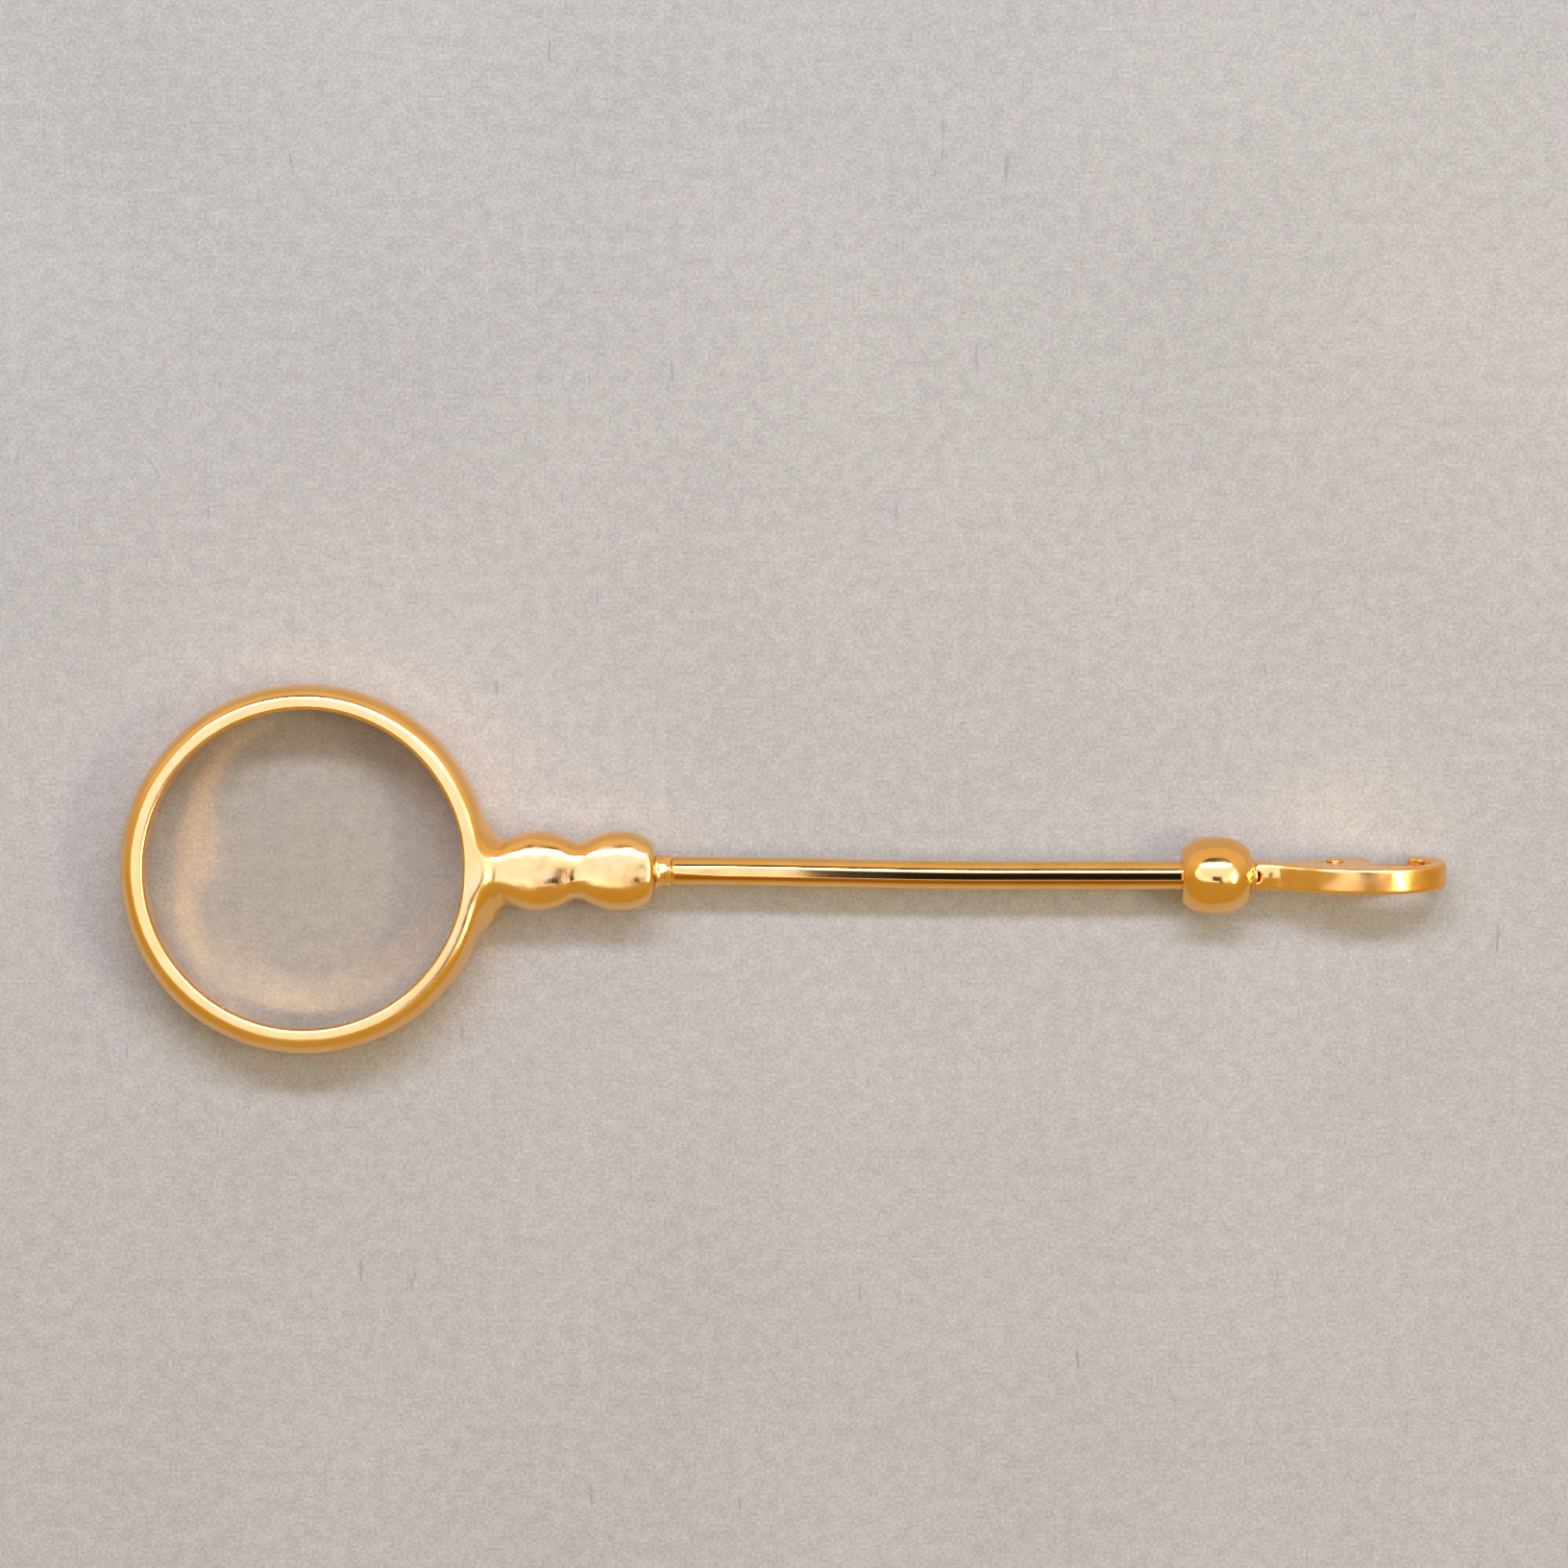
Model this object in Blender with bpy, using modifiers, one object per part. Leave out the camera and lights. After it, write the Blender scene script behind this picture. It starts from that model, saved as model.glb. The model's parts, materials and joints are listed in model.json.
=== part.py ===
"""Handheld jeweller's loupe on a thin handle that ends in a swivelling snap hook.

The loupe lies flat, as on a bench. +X runs along the handle towards the snap hook, +Z is
up and along the lens axis, and the origin is under the middle of the object's box, on the
surface it lies on. Run it with blender --background --python part.py, or from Blender's
text editor. The bodies of motion are the handle with the lens, the swivel with the hook,
and the hook's sprung lever.
"""

import math

import bmesh
import bpy

MM = 0.001

# Overall layout
OVERALL_LENGTH = 74.9 * MM
AXIS_HEIGHT = 2.28 * MM  # of the ring's middle plane and of the handle's axis
STEM_SIDE = -0.10 * MM  # the stem's axis beside the ring's centre, along Y
SWIVEL_SIDE = -0.36 * MM  # the swivel's axis, where the bowed handle ends

# Lens frame: a D-section ring, domed outside and flat inside
RING_OUTER_R = 10.47 * MM
RING_INNER_R = 8.95 * MM
RING_CREST_R = 9.22 * MM  # where the band is tallest
RING_DOME_POWER = 2.7  # of the superellipse that the dome follows
RING_LAND = 0.45 * MM  # width of the flat that the ring lies on
RING_LAND_EDGE = 0.06 * MM  # height at which the dome meets that flat
BORE_EASE = 0.30 * MM  # height of the rounding of the bore's upper edge
RING_X = -OVERALL_LENGTH / 2 + RING_OUTER_R

# Lens seat, cut in from the underside
SEAT_R = 9.37 * MM
SEAT_TOP = 1.36 * MM  # height of the shoulder that the lens lies against
GROOVE_R = 9.58 * MM
GROOVE_LOW = 0.26 * MM
GROOVE_HIGH = 0.70 * MM
FIT_GAP = 0.03 * MM  # between pieces that touch
RUNNING_GAP = 0.05 * MM  # between pieces that turn on each other

# Lens
LENS_EDGE = 0.54 * MM
LENS_SAG = 0.62 * MM  # each face's rise from its edge to its middle
SNAP_RING_WIDTH = 0.56 * MM
SNAP_RING_GAP_DEG = 16

# Stem: two beads that run together, drawn in from the ring
STEM_START = 9.75 * MM  # inside the ring's wall, from the ring's centre
STEM_END = 19.68 * MM
NECK_R = 1.45 * MM
NECK_END = 12.4 * MM
BEAD_R = 2.28 * MM
BEAD_INNER_HALF = 3.10 * MM  # half length of a bead's ellipse, towards the other bead
BEAD_OUTER_HALF = 2.50 * MM  # and away from it
BEAD_CENTRES = (12.95 * MM, 17.80 * MM)
BEAD_BLEND = 0.80 * MM
ROOT_LENGTH = 1.45 * MM  # of the flare from the ring to the neck
ROOT_START_R = 1.95 * MM
ROOT_END_R = 1.10 * MM
ROOT_WIDE = 1.42  # how much wider than tall the flare is
SOCKET_DEPTH = 3.3 * MM

# Handle wire
ROD_R = 0.80 * MM
TENON_R = 0.50 * MM
TENON_OVERLAP = 0.5 * MM  # of a tenon and the wire that it is turned from
COLLAR_LENGTH = 0.92 * MM
COLLAR_R = 0.86 * MM
COLLAR_FLANK = (  # (share of the length, share of the radius), from the beads to the wire
    (0, 1.08),
    (0.10, 1.13),
    (0.28, 1),
    (0.55, 0.95),
    (0.90, 0.98),
    (1, 0.93),
)
ROD_BOW_END = 0.62  # share of the rod's length over which it bows

# Swivel barrel
BARREL_LENGTH = 3.82 * MM
BARREL_R = 2.19 * MM
BARREL_HALF = 2.37 * MM  # half length of the whole superellipse, before its ends are cut
BARREL_POWER = 2.3
BARREL_END_WALL = 0.60 * MM
BARREL_BORE_R = 1.20 * MM
BARREL_EASE = 0.06 * MM
HEAD_R = 1.10 * MM
HEAD_LENGTH = 0.80 * MM
HEAD_EASE = 0.12 * MM
PLUG_LENGTH = 1.00 * MM
PLUG_EASE = 0.08 * MM

# Snap hook, measured along the swivel axis from the barrel and up from that axis
HOOK_ROLL = math.radians(9)  # how far it lies turned on its swivel
HOOK_LENGTH = 11.18 * MM
HOOK_X = OVERALL_LENGTH / 2 - HOOK_LENGTH
HOOK_THICKNESS = 1.45 * MM
HOOK_EDGE = 0.14 * MM
SHANK_R = 0.50 * MM
SHANK_LENGTH = 1.25 * MM
HOOK_STEM_R = 0.74 * MM
HOOK_STEM_EASE = 0.20 * MM  # length of the rounding at its foot
HOOK_STEM_TAPER = 3.00 * MM  # where it starts to run out into the flat body
HOOK_STEM_LENGTH = 4.2 * MM
SLOT_WIDTH = 0.84 * MM
SLOT_START = 4.0 * MM
SLOT_END = 8.0 * MM
SLOT_TOP = 0.60 * MM
SLOT_BOTTOM = -3 * MM  # clear of the body's lower side

# Lever, its rivet and its spring
PIVOT_ALONG = 4.90 * MM
PIVOT_UP = -0.55 * MM
LEVER_THICKNESS = 0.76 * MM
LEVER_EDGE = 0.10 * MM
EYE_R = 0.72 * MM
EYE_THICKNESS = 0.37 * MM
POCKET_R = 0.98 * MM
RIVET_R = 0.30 * MM
RIVET_HEAD_R = 0.52 * MM
RIVET_HEAD_RISE = 0.16 * MM
RIVET_DOME = ((1, 0.35), (0.80, 0.75), (0.45, 0.95), (0, 1))  # shares of radius and rise
SPRING_WIRE_R = 0.07 * MM
SPRING_PITCH = 0.16 * MM
SPRING_R = 0.43 * MM
SPRING_TURNS = 2
SPRING_LEG = 0.36 * MM

# Facets round a full turn, and steps along a curved outline
FINE = 64
ROUND = 28
SMALL = 20
COIL = 14
DOME_STEPS = 16
EASE_STEPS = 3
STEM_STEPS = 26
ROOT_STEPS = 6
LENS_STEPS = 6
ROD_STEPS = 18
BARREL_STEPS = 12
WELD = 1e-7  # metres between points that are one

GOLD = (0.92, 0.62, 0.24, 1)
PALE_GOLD = (0.94, 0.68, 0.32, 1)
STEEL = (0.62, 0.62, 0.60, 1)
GLASS = (0.90, 0.93, 0.95, 1)


def clear_scene():
    for obj in list(bpy.data.objects):
        bpy.data.objects.remove(obj, do_unlink=True)


def new_collection(name):
    made = bpy.data.collections.new(name)
    bpy.context.scene.collection.children.link(made)
    return made


def new_material(name, colour, roughness, metallic):
    made = bpy.data.materials.new(name)
    made.use_nodes = True
    shader = made.node_tree.nodes["Principled BSDF"]
    shader.inputs["Base Color"].default_value = colour
    shader.inputs["Roughness"].default_value = roughness
    shader.inputs["Metallic"].default_value = metallic
    made.diffuse_color = colour
    return made


def new_object(name, data, collection, material=None):
    made = bpy.data.objects.new(name, data)
    collection.objects.link(made)
    if material:
        data.materials.append(material)
    return made


def mesh_object(name, build, collection, material=None):
    """An object whose mesh is what build makes of an empty bmesh."""
    shape = bmesh.new()
    build(shape)
    mesh = bpy.data.meshes.new(name)
    shape.to_mesh(mesh)
    shape.free()
    return new_object(name, mesh, collection, material)


def smooth(obj, angle=35):
    obj.data.shade_smooth()
    obj.data.set_sharp_from_angle(angle=math.radians(angle))


def turned(name, profile, steps, collection, material=None, closed=False):
    """A solid turned about its local Z from (radius, height) points, outer side downwards."""

    def outline(shape):
        points = [shape.verts.new((radius, 0, height)) for radius, height in profile]
        ends = points[1:] + points[:1] if closed else points[1:]
        for start, end in zip(points, ends):
            shape.edges.new((start, end))

    made = mesh_object(name, outline, collection, material)
    screw = made.modifiers.new("Turn", "SCREW")
    screw.axis = "Z"
    screw.angle = math.tau
    screw.steps = steps
    screw.render_steps = steps
    screw.use_merge_vertices = True
    screw.merge_threshold = WELD
    screw.use_smooth_shade = True
    return made


def turned_along_x(name, profile, steps, collection, material=None, closed=False):
    """The same about world X, from (distance along X, radius) points in rising order."""
    standing = [(radius, along) for along, radius in reversed(profile)]
    made = turned(name, standing, steps, collection, material, closed)
    made.rotation_euler = (0, math.pi / 2, 0)
    return made


def cylinder_along(axis, name, radius, length, collection, segments=SMALL):
    """A plain cylinder centred on its own origin, with its length along world X or Y."""

    def build(shape):
        bmesh.ops.create_cone(
            shape,
            cap_ends=True,
            segments=segments,
            radius1=radius,
            radius2=radius,
            depth=length,
        )

    made = mesh_object(name, build, collection)
    made.rotation_euler = (0, math.pi / 2, 0) if axis == "X" else (math.pi / 2, 0, 0)
    return made


def boolean(obj, other, operation):
    step = obj.modifiers.new(other.name, "BOOLEAN")
    step.operation = operation
    step.object = other
    return step


def as_mesh(obj, collection):
    """The evaluated object as a plain mesh object with welded caps; the original goes."""
    bpy.context.view_layer.update()
    graph = bpy.context.evaluated_depsgraph_get()
    mesh = bpy.data.meshes.new_from_object(obj.evaluated_get(graph))
    shape = bmesh.new()
    shape.from_mesh(mesh)
    bmesh.ops.remove_doubles(shape, verts=shape.verts, dist=WELD)
    bmesh.ops.recalc_face_normals(shape, faces=shape.faces)
    shape.to_mesh(mesh)
    shape.free()
    name = obj.name
    matrix = obj.matrix_world.copy()
    bpy.data.objects.remove(obj, do_unlink=True)
    made = bpy.data.objects.new(name, mesh)
    made.matrix_world = matrix
    collection.objects.link(made)
    return made


def plate(name, outline, thickness, edge, collection, material=None):
    """A flat piece in the XZ plane from (along, up, handle type) points, its edges eased."""
    curve = bpy.data.curves.new(name, "CURVE")
    curve.dimensions = "2D"
    curve.fill_mode = "BOTH"
    curve.extrude = thickness / 2
    curve.resolution_u = 3
    spline = curve.splines.new("BEZIER")
    spline.bezier_points.add(len(outline) - 1)
    spline.use_cyclic_u = True
    for point, (along, up, kind) in zip(spline.bezier_points, outline):
        point.co = (along * MM, up * MM, 0)
        point.handle_left_type = kind
        point.handle_right_type = kind
    made = new_object(name, curve, collection, material)
    made.rotation_euler = (math.pi / 2, 0, 0)
    made = as_mesh(made, collection)
    ease = made.modifiers.new("Edge", "BEVEL")
    ease.width = edge
    ease.segments = 2
    ease.limit_method = "ANGLE"
    ease.angle_limit = math.radians(50)
    smooth(made)
    return made


def tube(name, points, radius, resolution, collection, material=None):
    """A round wire along the points."""
    curve = bpy.data.curves.new(name, "CURVE")
    curve.dimensions = "3D"
    curve.bevel_depth = radius
    curve.bevel_resolution = resolution
    curve.use_fill_caps = True
    spline = curve.splines.new("POLY")
    spline.points.add(len(points) - 1)
    for place, point in zip(spline.points, points):
        place.co = (*point, 1)
    return new_object(name, curve, collection, material)


def ease(share):
    """0 to 1 with no slope at either end."""
    share = min(max(share, 0), 1)
    return share * share * (3 - 2 * share)


def blended_max(a, b, blend):
    """The larger of two lengths, rounded off where they are close."""
    near = max(blend - abs(a - b), 0) / blend
    return max(a, b) + near * near * blend / 4


def superellipse(share, power):
    return max(1 - abs(share) ** power, 0) ** (1 / power)


# Lens frame


def ring_section():
    """(radius, height) round the band's section, down its outside and up its inside."""
    half = AXIS_HEIGHT
    dome = RING_OUTER_R - RING_CREST_R
    outside = []
    for step in range(DOME_STEPS + 1):
        height = math.cos(math.pi * step / DOME_STEPS)
        outside.append(
            (
                RING_CREST_R + dome * superellipse(height, RING_DOME_POWER),
                half + half * height,
            )
        )
    land_end = SEAT_R + RING_LAND
    outside = [point for point in outside if point[1] > RING_LAND_EDGE or point[0] > land_end]
    inside = [
        (land_end, 0),
        (SEAT_R, 0),
        (SEAT_R, GROOVE_LOW),
        (GROOVE_R, GROOVE_LOW),
        (GROOVE_R, GROOVE_HIGH),
        (SEAT_R, GROOVE_HIGH),
        (SEAT_R, SEAT_TOP),
        (RING_INNER_R, SEAT_TOP),
    ]
    for step in range(EASE_STEPS):
        turn = math.pi / 2 * step / EASE_STEPS
        inside.append(
            (
                RING_CREST_R - (RING_CREST_R - RING_INNER_R) * math.cos(turn),
                2 * half - BORE_EASE + BORE_EASE * math.sin(turn),
            )
        )
    return outside + inside


def stem_radius(along):
    """The stem's radius at a distance along X from the ring's centre."""
    radius = NECK_R if along < NECK_END else 0
    middle = sum(BEAD_CENTRES) / 2
    for centre in BEAD_CENTRES:
        outer_side = abs(along - middle) > abs(centre - middle)
        half = BEAD_OUTER_HALF if outer_side else BEAD_INNER_HALF
        bead = BEAD_R * superellipse((along - centre) / half, 2)
        radius = blended_max(radius, bead, BEAD_BLEND) if radius and bead else max(radius, bead)
    return min(radius, BEAD_R)


def lens_frame(parts, cutters, gold):
    frame = turned("lens_frame", ring_section(), FINE, parts, gold, closed=True)
    frame.location = (RING_X, 0, 0)

    length = STEM_END - STEM_START
    places = [STEM_START + length * step / STEM_STEPS for step in range(STEM_STEPS + 1)]
    profile = [(STEM_START, 0)]
    profile += [(along, stem_radius(along)) for along in places]
    profile.append((STEM_END, 0))
    stem = turned_along_x("stem_shape", profile, ROUND, cutters)
    stem.location = (RING_X, STEM_SIDE, AXIS_HEIGHT)

    flare = [(STEM_START, 0)]
    for step in range(ROOT_STEPS + 1):
        share = step / ROOT_STEPS
        rise = 1 - math.sqrt(1 - (1 - share) ** 2)
        radius = ROOT_END_R + (ROOT_START_R - ROOT_END_R) * rise
        flare.append((STEM_START + ROOT_LENGTH * share, radius))
    flare.append((STEM_START + ROOT_LENGTH, 0))
    root = turned_along_x("root_shape", flare, ROUND, cutters)
    root.location = stem.location
    root.scale = (1, ROOT_WIDE, 1)

    socket = cylinder_along("X", "rod_socket", TENON_R + FIT_GAP, 2 * SOCKET_DEPTH, cutters)
    socket.location = (RING_X + STEM_END, STEM_SIDE, AXIS_HEIGHT)

    boolean(frame, stem, "UNION")
    boolean(frame, root, "UNION")
    boolean(frame, socket, "DIFFERENCE")
    return frame


def lens(parts, glass):
    """A biconvex lens with a ground edge, against the seat's shoulder."""
    radius = SEAT_R - FIT_GAP
    curvature = (radius**2 + LENS_SAG**2) / (2 * LENS_SAG)

    def rise_at(out):
        return math.sqrt(curvature**2 - out**2) - (curvature - LENS_SAG)

    top_edge = SEAT_TOP - FIT_GAP - rise_at(RING_INNER_R)
    places = [radius * step / LENS_STEPS for step in range(LENS_STEPS + 1)]
    face = [(out, rise_at(out)) for out in places]
    upper = [(out, top_edge + rise) for out, rise in face]
    lower = [(out, top_edge - LENS_EDGE - rise) for out, rise in reversed(face)]
    made = turned("lens", upper + lower, FINE, parts, glass)
    made.location = (RING_X, 0, 0)
    return made


def lens_retaining_ring(parts, cutters, gold):
    """A split snap ring in the groove under the lens."""
    outer = GROOVE_R - FIT_GAP
    inner = outer - SNAP_RING_WIDTH
    low = GROOVE_LOW + FIT_GAP
    high = GROOVE_HIGH - FIT_GAP
    section = [(outer, high), (outer, low), (inner, low), (inner, high)]
    made = turned("lens_retaining_ring", section, FINE, parts, gold, closed=True)
    made.location = (RING_X, 0, 0)

    gap = 2 * outer * math.sin(math.radians(SNAP_RING_GAP_DEG) / 2)

    def build(shape):
        bmesh.ops.create_cube(shape, size=1)

    cut = mesh_object("snap_ring_gap", build, cutters)
    cut.scale = (4 * SNAP_RING_WIDTH, gap, 2 * AXIS_HEIGHT)
    cut.location = (RING_X - outer, 0, low)
    boolean(made, cut, "DIFFERENCE")
    return made


# Handle


def rod_start():
    return RING_X + STEM_END + FIT_GAP + COLLAR_LENGTH + FIT_GAP


def neck_collar(parts, gold):
    """The short sleeve between the beads and the wire, swelled where it meets the beads."""
    bore = TENON_R + FIT_GAP
    flank = [(share * COLLAR_LENGTH, width * COLLAR_R) for share, width in COLLAR_FLANK]
    profile = [(0, bore)] + flank + [(COLLAR_LENGTH, bore)]
    made = turned_along_x("neck_collar", profile, ROUND, parts, gold, closed=True)
    made.location = (RING_X + STEM_END + FIT_GAP, STEM_SIDE, AXIS_HEIGHT)
    return made


def handle_rod(parts, cutters, gold):
    """The bowed wire, turned down at both ends for its socket and its swivel head."""
    start = rod_start()
    shoulder = HOOK_X - BARREL_LENGTH + BARREL_END_WALL + RUNNING_GAP + FIT_GAP
    points = []
    for step in range(ROD_STEPS + 1):
        share = step / ROD_STEPS
        bow = ease(share / ROD_BOW_END)
        side = STEM_SIDE + (SWIVEL_SIDE - STEM_SIDE) * bow
        points.append((start + (shoulder - start) * share, side, AXIS_HEIGHT))
    wire = tube("handle_rod", points, ROD_R, 6, parts)
    rod = as_mesh(wire, parts)
    rod.data.materials.append(gold)
    smooth(rod)

    front = SOCKET_DEPTH + COLLAR_LENGTH
    tenon = cylinder_along("X", "front_tenon", TENON_R, front, cutters)
    tenon.location = (start + TENON_OVERLAP - front / 2, STEM_SIDE, AXIS_HEIGHT)
    back = HEAD_LENGTH + FIT_GAP + TENON_OVERLAP
    pin = cylinder_along("X", "swivel_tenon", TENON_R, back, cutters)
    pin.location = (shoulder - TENON_OVERLAP + back / 2, SWIVEL_SIDE, AXIS_HEIGHT)
    boolean(rod, tenon, "UNION")
    boolean(rod, pin, "UNION")
    return rod


def swivel_head(parts, gold):
    """The head riveted on the wire's end, which the barrel turns on."""
    bore = TENON_R + FIT_GAP
    profile = [
        (0, bore),
        (0, HEAD_R - HEAD_EASE),
        (HEAD_EASE, HEAD_R),
        (HEAD_LENGTH - HEAD_EASE, HEAD_R),
        (HEAD_LENGTH, HEAD_R - HEAD_EASE),
        (HEAD_LENGTH, bore),
    ]
    made = turned_along_x("swivel_head", profile, ROUND, parts, gold, closed=True)
    start = HOOK_X - BARREL_LENGTH + BARREL_END_WALL + RUNNING_GAP + 2 * FIT_GAP
    made.location = (start, SWIVEL_SIDE, AXIS_HEIGHT)
    return made


# Swivel


def swivel_barrel(parts, axis, gold):
    """The bead at the handle's end: wire hole on one side, open bore on the other."""
    hole = ROD_R + RUNNING_GAP
    half = BARREL_LENGTH / 2
    outside = []
    for step in range(BARREL_STEPS + 1):
        along = -half + BARREL_LENGTH * step / BARREL_STEPS
        radius = BARREL_R * superellipse(along / BARREL_HALF, BARREL_POWER)
        outside.append((along, radius))
    outside[0] = (-half + BARREL_EASE, outside[0][1])
    outside[-1] = (half - BARREL_EASE, outside[-1][1])
    end_r = outside[0][1] - BARREL_EASE
    bore_start = -half + BARREL_END_WALL
    profile = [(-half, hole), (-half, end_r)] + outside + [(half, end_r)]
    profile += [(half, BARREL_BORE_R), (bore_start, BARREL_BORE_R), (bore_start, hole)]
    made = turned_along_x("swivel_barrel", profile, ROUND, parts, gold, closed=True)
    made.parent = axis
    made.location = (-half, 0, 0)
    return made


def barrel_plug(parts, axis, gold):
    """The disc that closes the barrel and holds the hook's shank."""
    bore = SHANK_R + FIT_GAP
    outer = BARREL_BORE_R - FIT_GAP
    profile = [
        (-PLUG_LENGTH, bore),
        (-PLUG_LENGTH, outer),
        (-PLUG_EASE, outer),
        (0, outer - PLUG_EASE),
        (0, bore),
    ]
    made = turned_along_x("barrel_plug", profile, ROUND, parts, gold, closed=True)
    made.parent = axis
    made.location = (-FIT_GAP, 0, 0)
    return made


def clasp_body(parts, cutters, axis, gold):
    """The snap hook: a round stem that flattens into a teardrop with an open throat."""
    outline = [
        (2.60, 0.52, "VECTOR"),
        (3.90, 0.80, "AUTO"),
        (5.40, 1.30, "AUTO"),
        (6.80, 1.92, "AUTO"),
        (8.20, 2.34, "AUTO"),
        (9.60, 2.30, "AUTO"),
        (10.62, 2.00, "AUTO"),
        (HOOK_LENGTH / MM - 0.08, 1.30, "AUTO"),
        (HOOK_LENGTH / MM, 0.20, "AUTO"),
        (11.06, -1.10, "AUTO"),
        (10.56, -1.88, "AUTO"),
        (9.80, -2.16, "AUTO"),
        (9.30, -2.10, "AUTO"),
        (9.18, -1.78, "AUTO"),
        (9.54, -1.48, "AUTO"),
        (10.12, -1.08, "AUTO"),
        (10.40, -0.20, "AUTO"),
        (10.34, 0.86, "AUTO"),
        (9.70, 1.40, "AUTO"),
        (8.40, 1.52, "AUTO"),
        (7.30, 1.14, "AUTO"),
        (6.98, 0.20, "AUTO"),
        (6.92, -1.20, "AUTO"),
        (6.20, -1.78, "AUTO"),
        (4.90, -1.76, "AUTO"),
        (3.80, -1.06, "AUTO"),
        (2.60, -0.52, "VECTOR"),
    ]
    body = plate("clasp_body", outline, HOOK_THICKNESS, HOOK_EDGE, parts)
    body.data.materials.append(gold)
    body.parent = axis

    flank = [
        (-SHANK_LENGTH, 0),
        (-SHANK_LENGTH, SHANK_R),
        (FIT_GAP, SHANK_R),
        (FIT_GAP, HOOK_STEM_R * 0.90),
        (HOOK_STEM_EASE, HOOK_STEM_R),
        (HOOK_STEM_TAPER, HOOK_STEM_R * 0.97),
        (HOOK_STEM_LENGTH, HOOK_STEM_R * 0.80),
        (HOOK_STEM_LENGTH, 0),
    ]
    stem = turned_along_x("hook_stem_shape", flank, ROUND, cutters)
    stem.parent = axis

    def build(shape):
        bmesh.ops.create_cube(shape, size=1)

    slot = mesh_object("lever_slot", build, cutters)
    slot.scale = (SLOT_END - SLOT_START, SLOT_WIDTH, SLOT_TOP - SLOT_BOTTOM)
    slot.location = ((SLOT_START + SLOT_END) / 2, 0, (SLOT_TOP + SLOT_BOTTOM) / 2)
    slot.parent = axis

    hole = cylinder_along("Y", "rivet_hole", RIVET_R + FIT_GAP, 2 * HOOK_THICKNESS, cutters)
    hole.location = (PIVOT_ALONG, 0, PIVOT_UP)
    hole.parent = axis

    boolean(body, stem, "UNION")
    boolean(body, slot, "DIFFERENCE")
    boolean(body, hole, "DIFFERENCE")
    return body


def clasp_lever(parts, cutters, pivot, gold):
    """The sprung gate. Its eye is thin on one side, where the spring's coil lies."""
    outline = [
        (5.50, -0.02, "AUTO"),
        (6.90, -0.38, "AUTO"),
        (8.30, -0.80, "AUTO"),
        (9.20, -1.06, "AUTO"),
        (9.42, -1.20, "AUTO"),
        (9.30, -1.38, "AUTO"),
        (9.04, -1.46, "AUTO"),
        (8.94, -1.70, "AUTO"),
        (8.10, -1.80, "AUTO"),
        (7.00, -1.80, "AUTO"),
        (6.66, -2.12, "AUTO"),
        (6.26, -2.16, "AUTO"),
        (5.92, -1.80, "AUTO"),
        (5.50, -1.30, "AUTO"),
    ]
    placed = [(along - PIVOT_ALONG / MM, up - PIVOT_UP / MM, kind) for along, up, kind in outline]
    lever = plate("clasp_lever", placed, LEVER_THICKNESS, LEVER_EDGE, parts)
    lever.data.materials.append(gold)
    lever.parent = pivot

    eye = cylinder_along("Y", "eye_shape", EYE_R, LEVER_THICKNESS, cutters, ROUND)
    pocket = cylinder_along("Y", "spring_pocket", POCKET_R, LEVER_THICKNESS, cutters, ROUND)
    pocket.location = (0, -EYE_THICKNESS, 0)
    hole = cylinder_along("Y", "eye_hole", RIVET_R + RUNNING_GAP, 2 * LEVER_THICKNESS, cutters)
    for cutter in (eye, pocket, hole):
        cutter.parent = pivot
    boolean(lever, eye, "UNION")
    boolean(lever, pocket, "DIFFERENCE")
    boolean(lever, hole, "DIFFERENCE")
    return lever


def lever_rivet(parts, pivot, gold):
    """A straight pin with a low domed head on each side of the hook."""
    cheek = HOOK_THICKNESS / 2 + FIT_GAP
    upper = [
        (RIVET_HEAD_R * width, cheek + RIVET_HEAD_RISE * rise)
        for width, rise in reversed(RIVET_DOME)
    ]
    upper += [(RIVET_HEAD_R, cheek), (RIVET_R, cheek)]
    lower = [(radius, -height) for radius, height in reversed(upper)]
    made = turned("lever_rivet", upper + lower, SMALL, parts, gold)
    made.rotation_euler = (math.pi / 2, 0, 0)
    made.parent = pivot
    return made


def lever_spring(parts, pivot, steel):
    """A two-turn torsion spring round the rivet, a leg towards the stem and one towards the lever."""
    steps = SPRING_TURNS * COIL + COIL // 2
    width = SPRING_PITCH * steps / COIL
    pocket_middle = -LEVER_THICKNESS / 4
    points = []
    for step in range(steps + 1):
        turn = math.pi / 2 + math.tau * step / COIL
        points.append(
            (
                SPRING_R * math.cos(turn),
                pocket_middle - width / 2 + SPRING_PITCH * step / COIL,
                SPRING_R * math.sin(turn),
            )
        )
    first = points[0]
    last = points[-1]
    points.insert(0, (first[0] + SPRING_LEG, first[1], first[2]))
    points.append((last[0] + SPRING_LEG, last[1], last[2]))
    wire = tube("lever_spring", points, SPRING_WIRE_R, 2, parts)
    made = as_mesh(wire, parts)
    made.data.materials.append(steel)
    smooth(made)
    made.parent = pivot
    return made


def empty(name, location, collection, parent=None, roll=0):
    made = bpy.data.objects.new(name, None)
    made.empty_display_size = MM
    made.location = location
    made.rotation_euler = (roll, 0, 0)
    made.parent = parent
    collection.objects.link(made)
    return made


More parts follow.
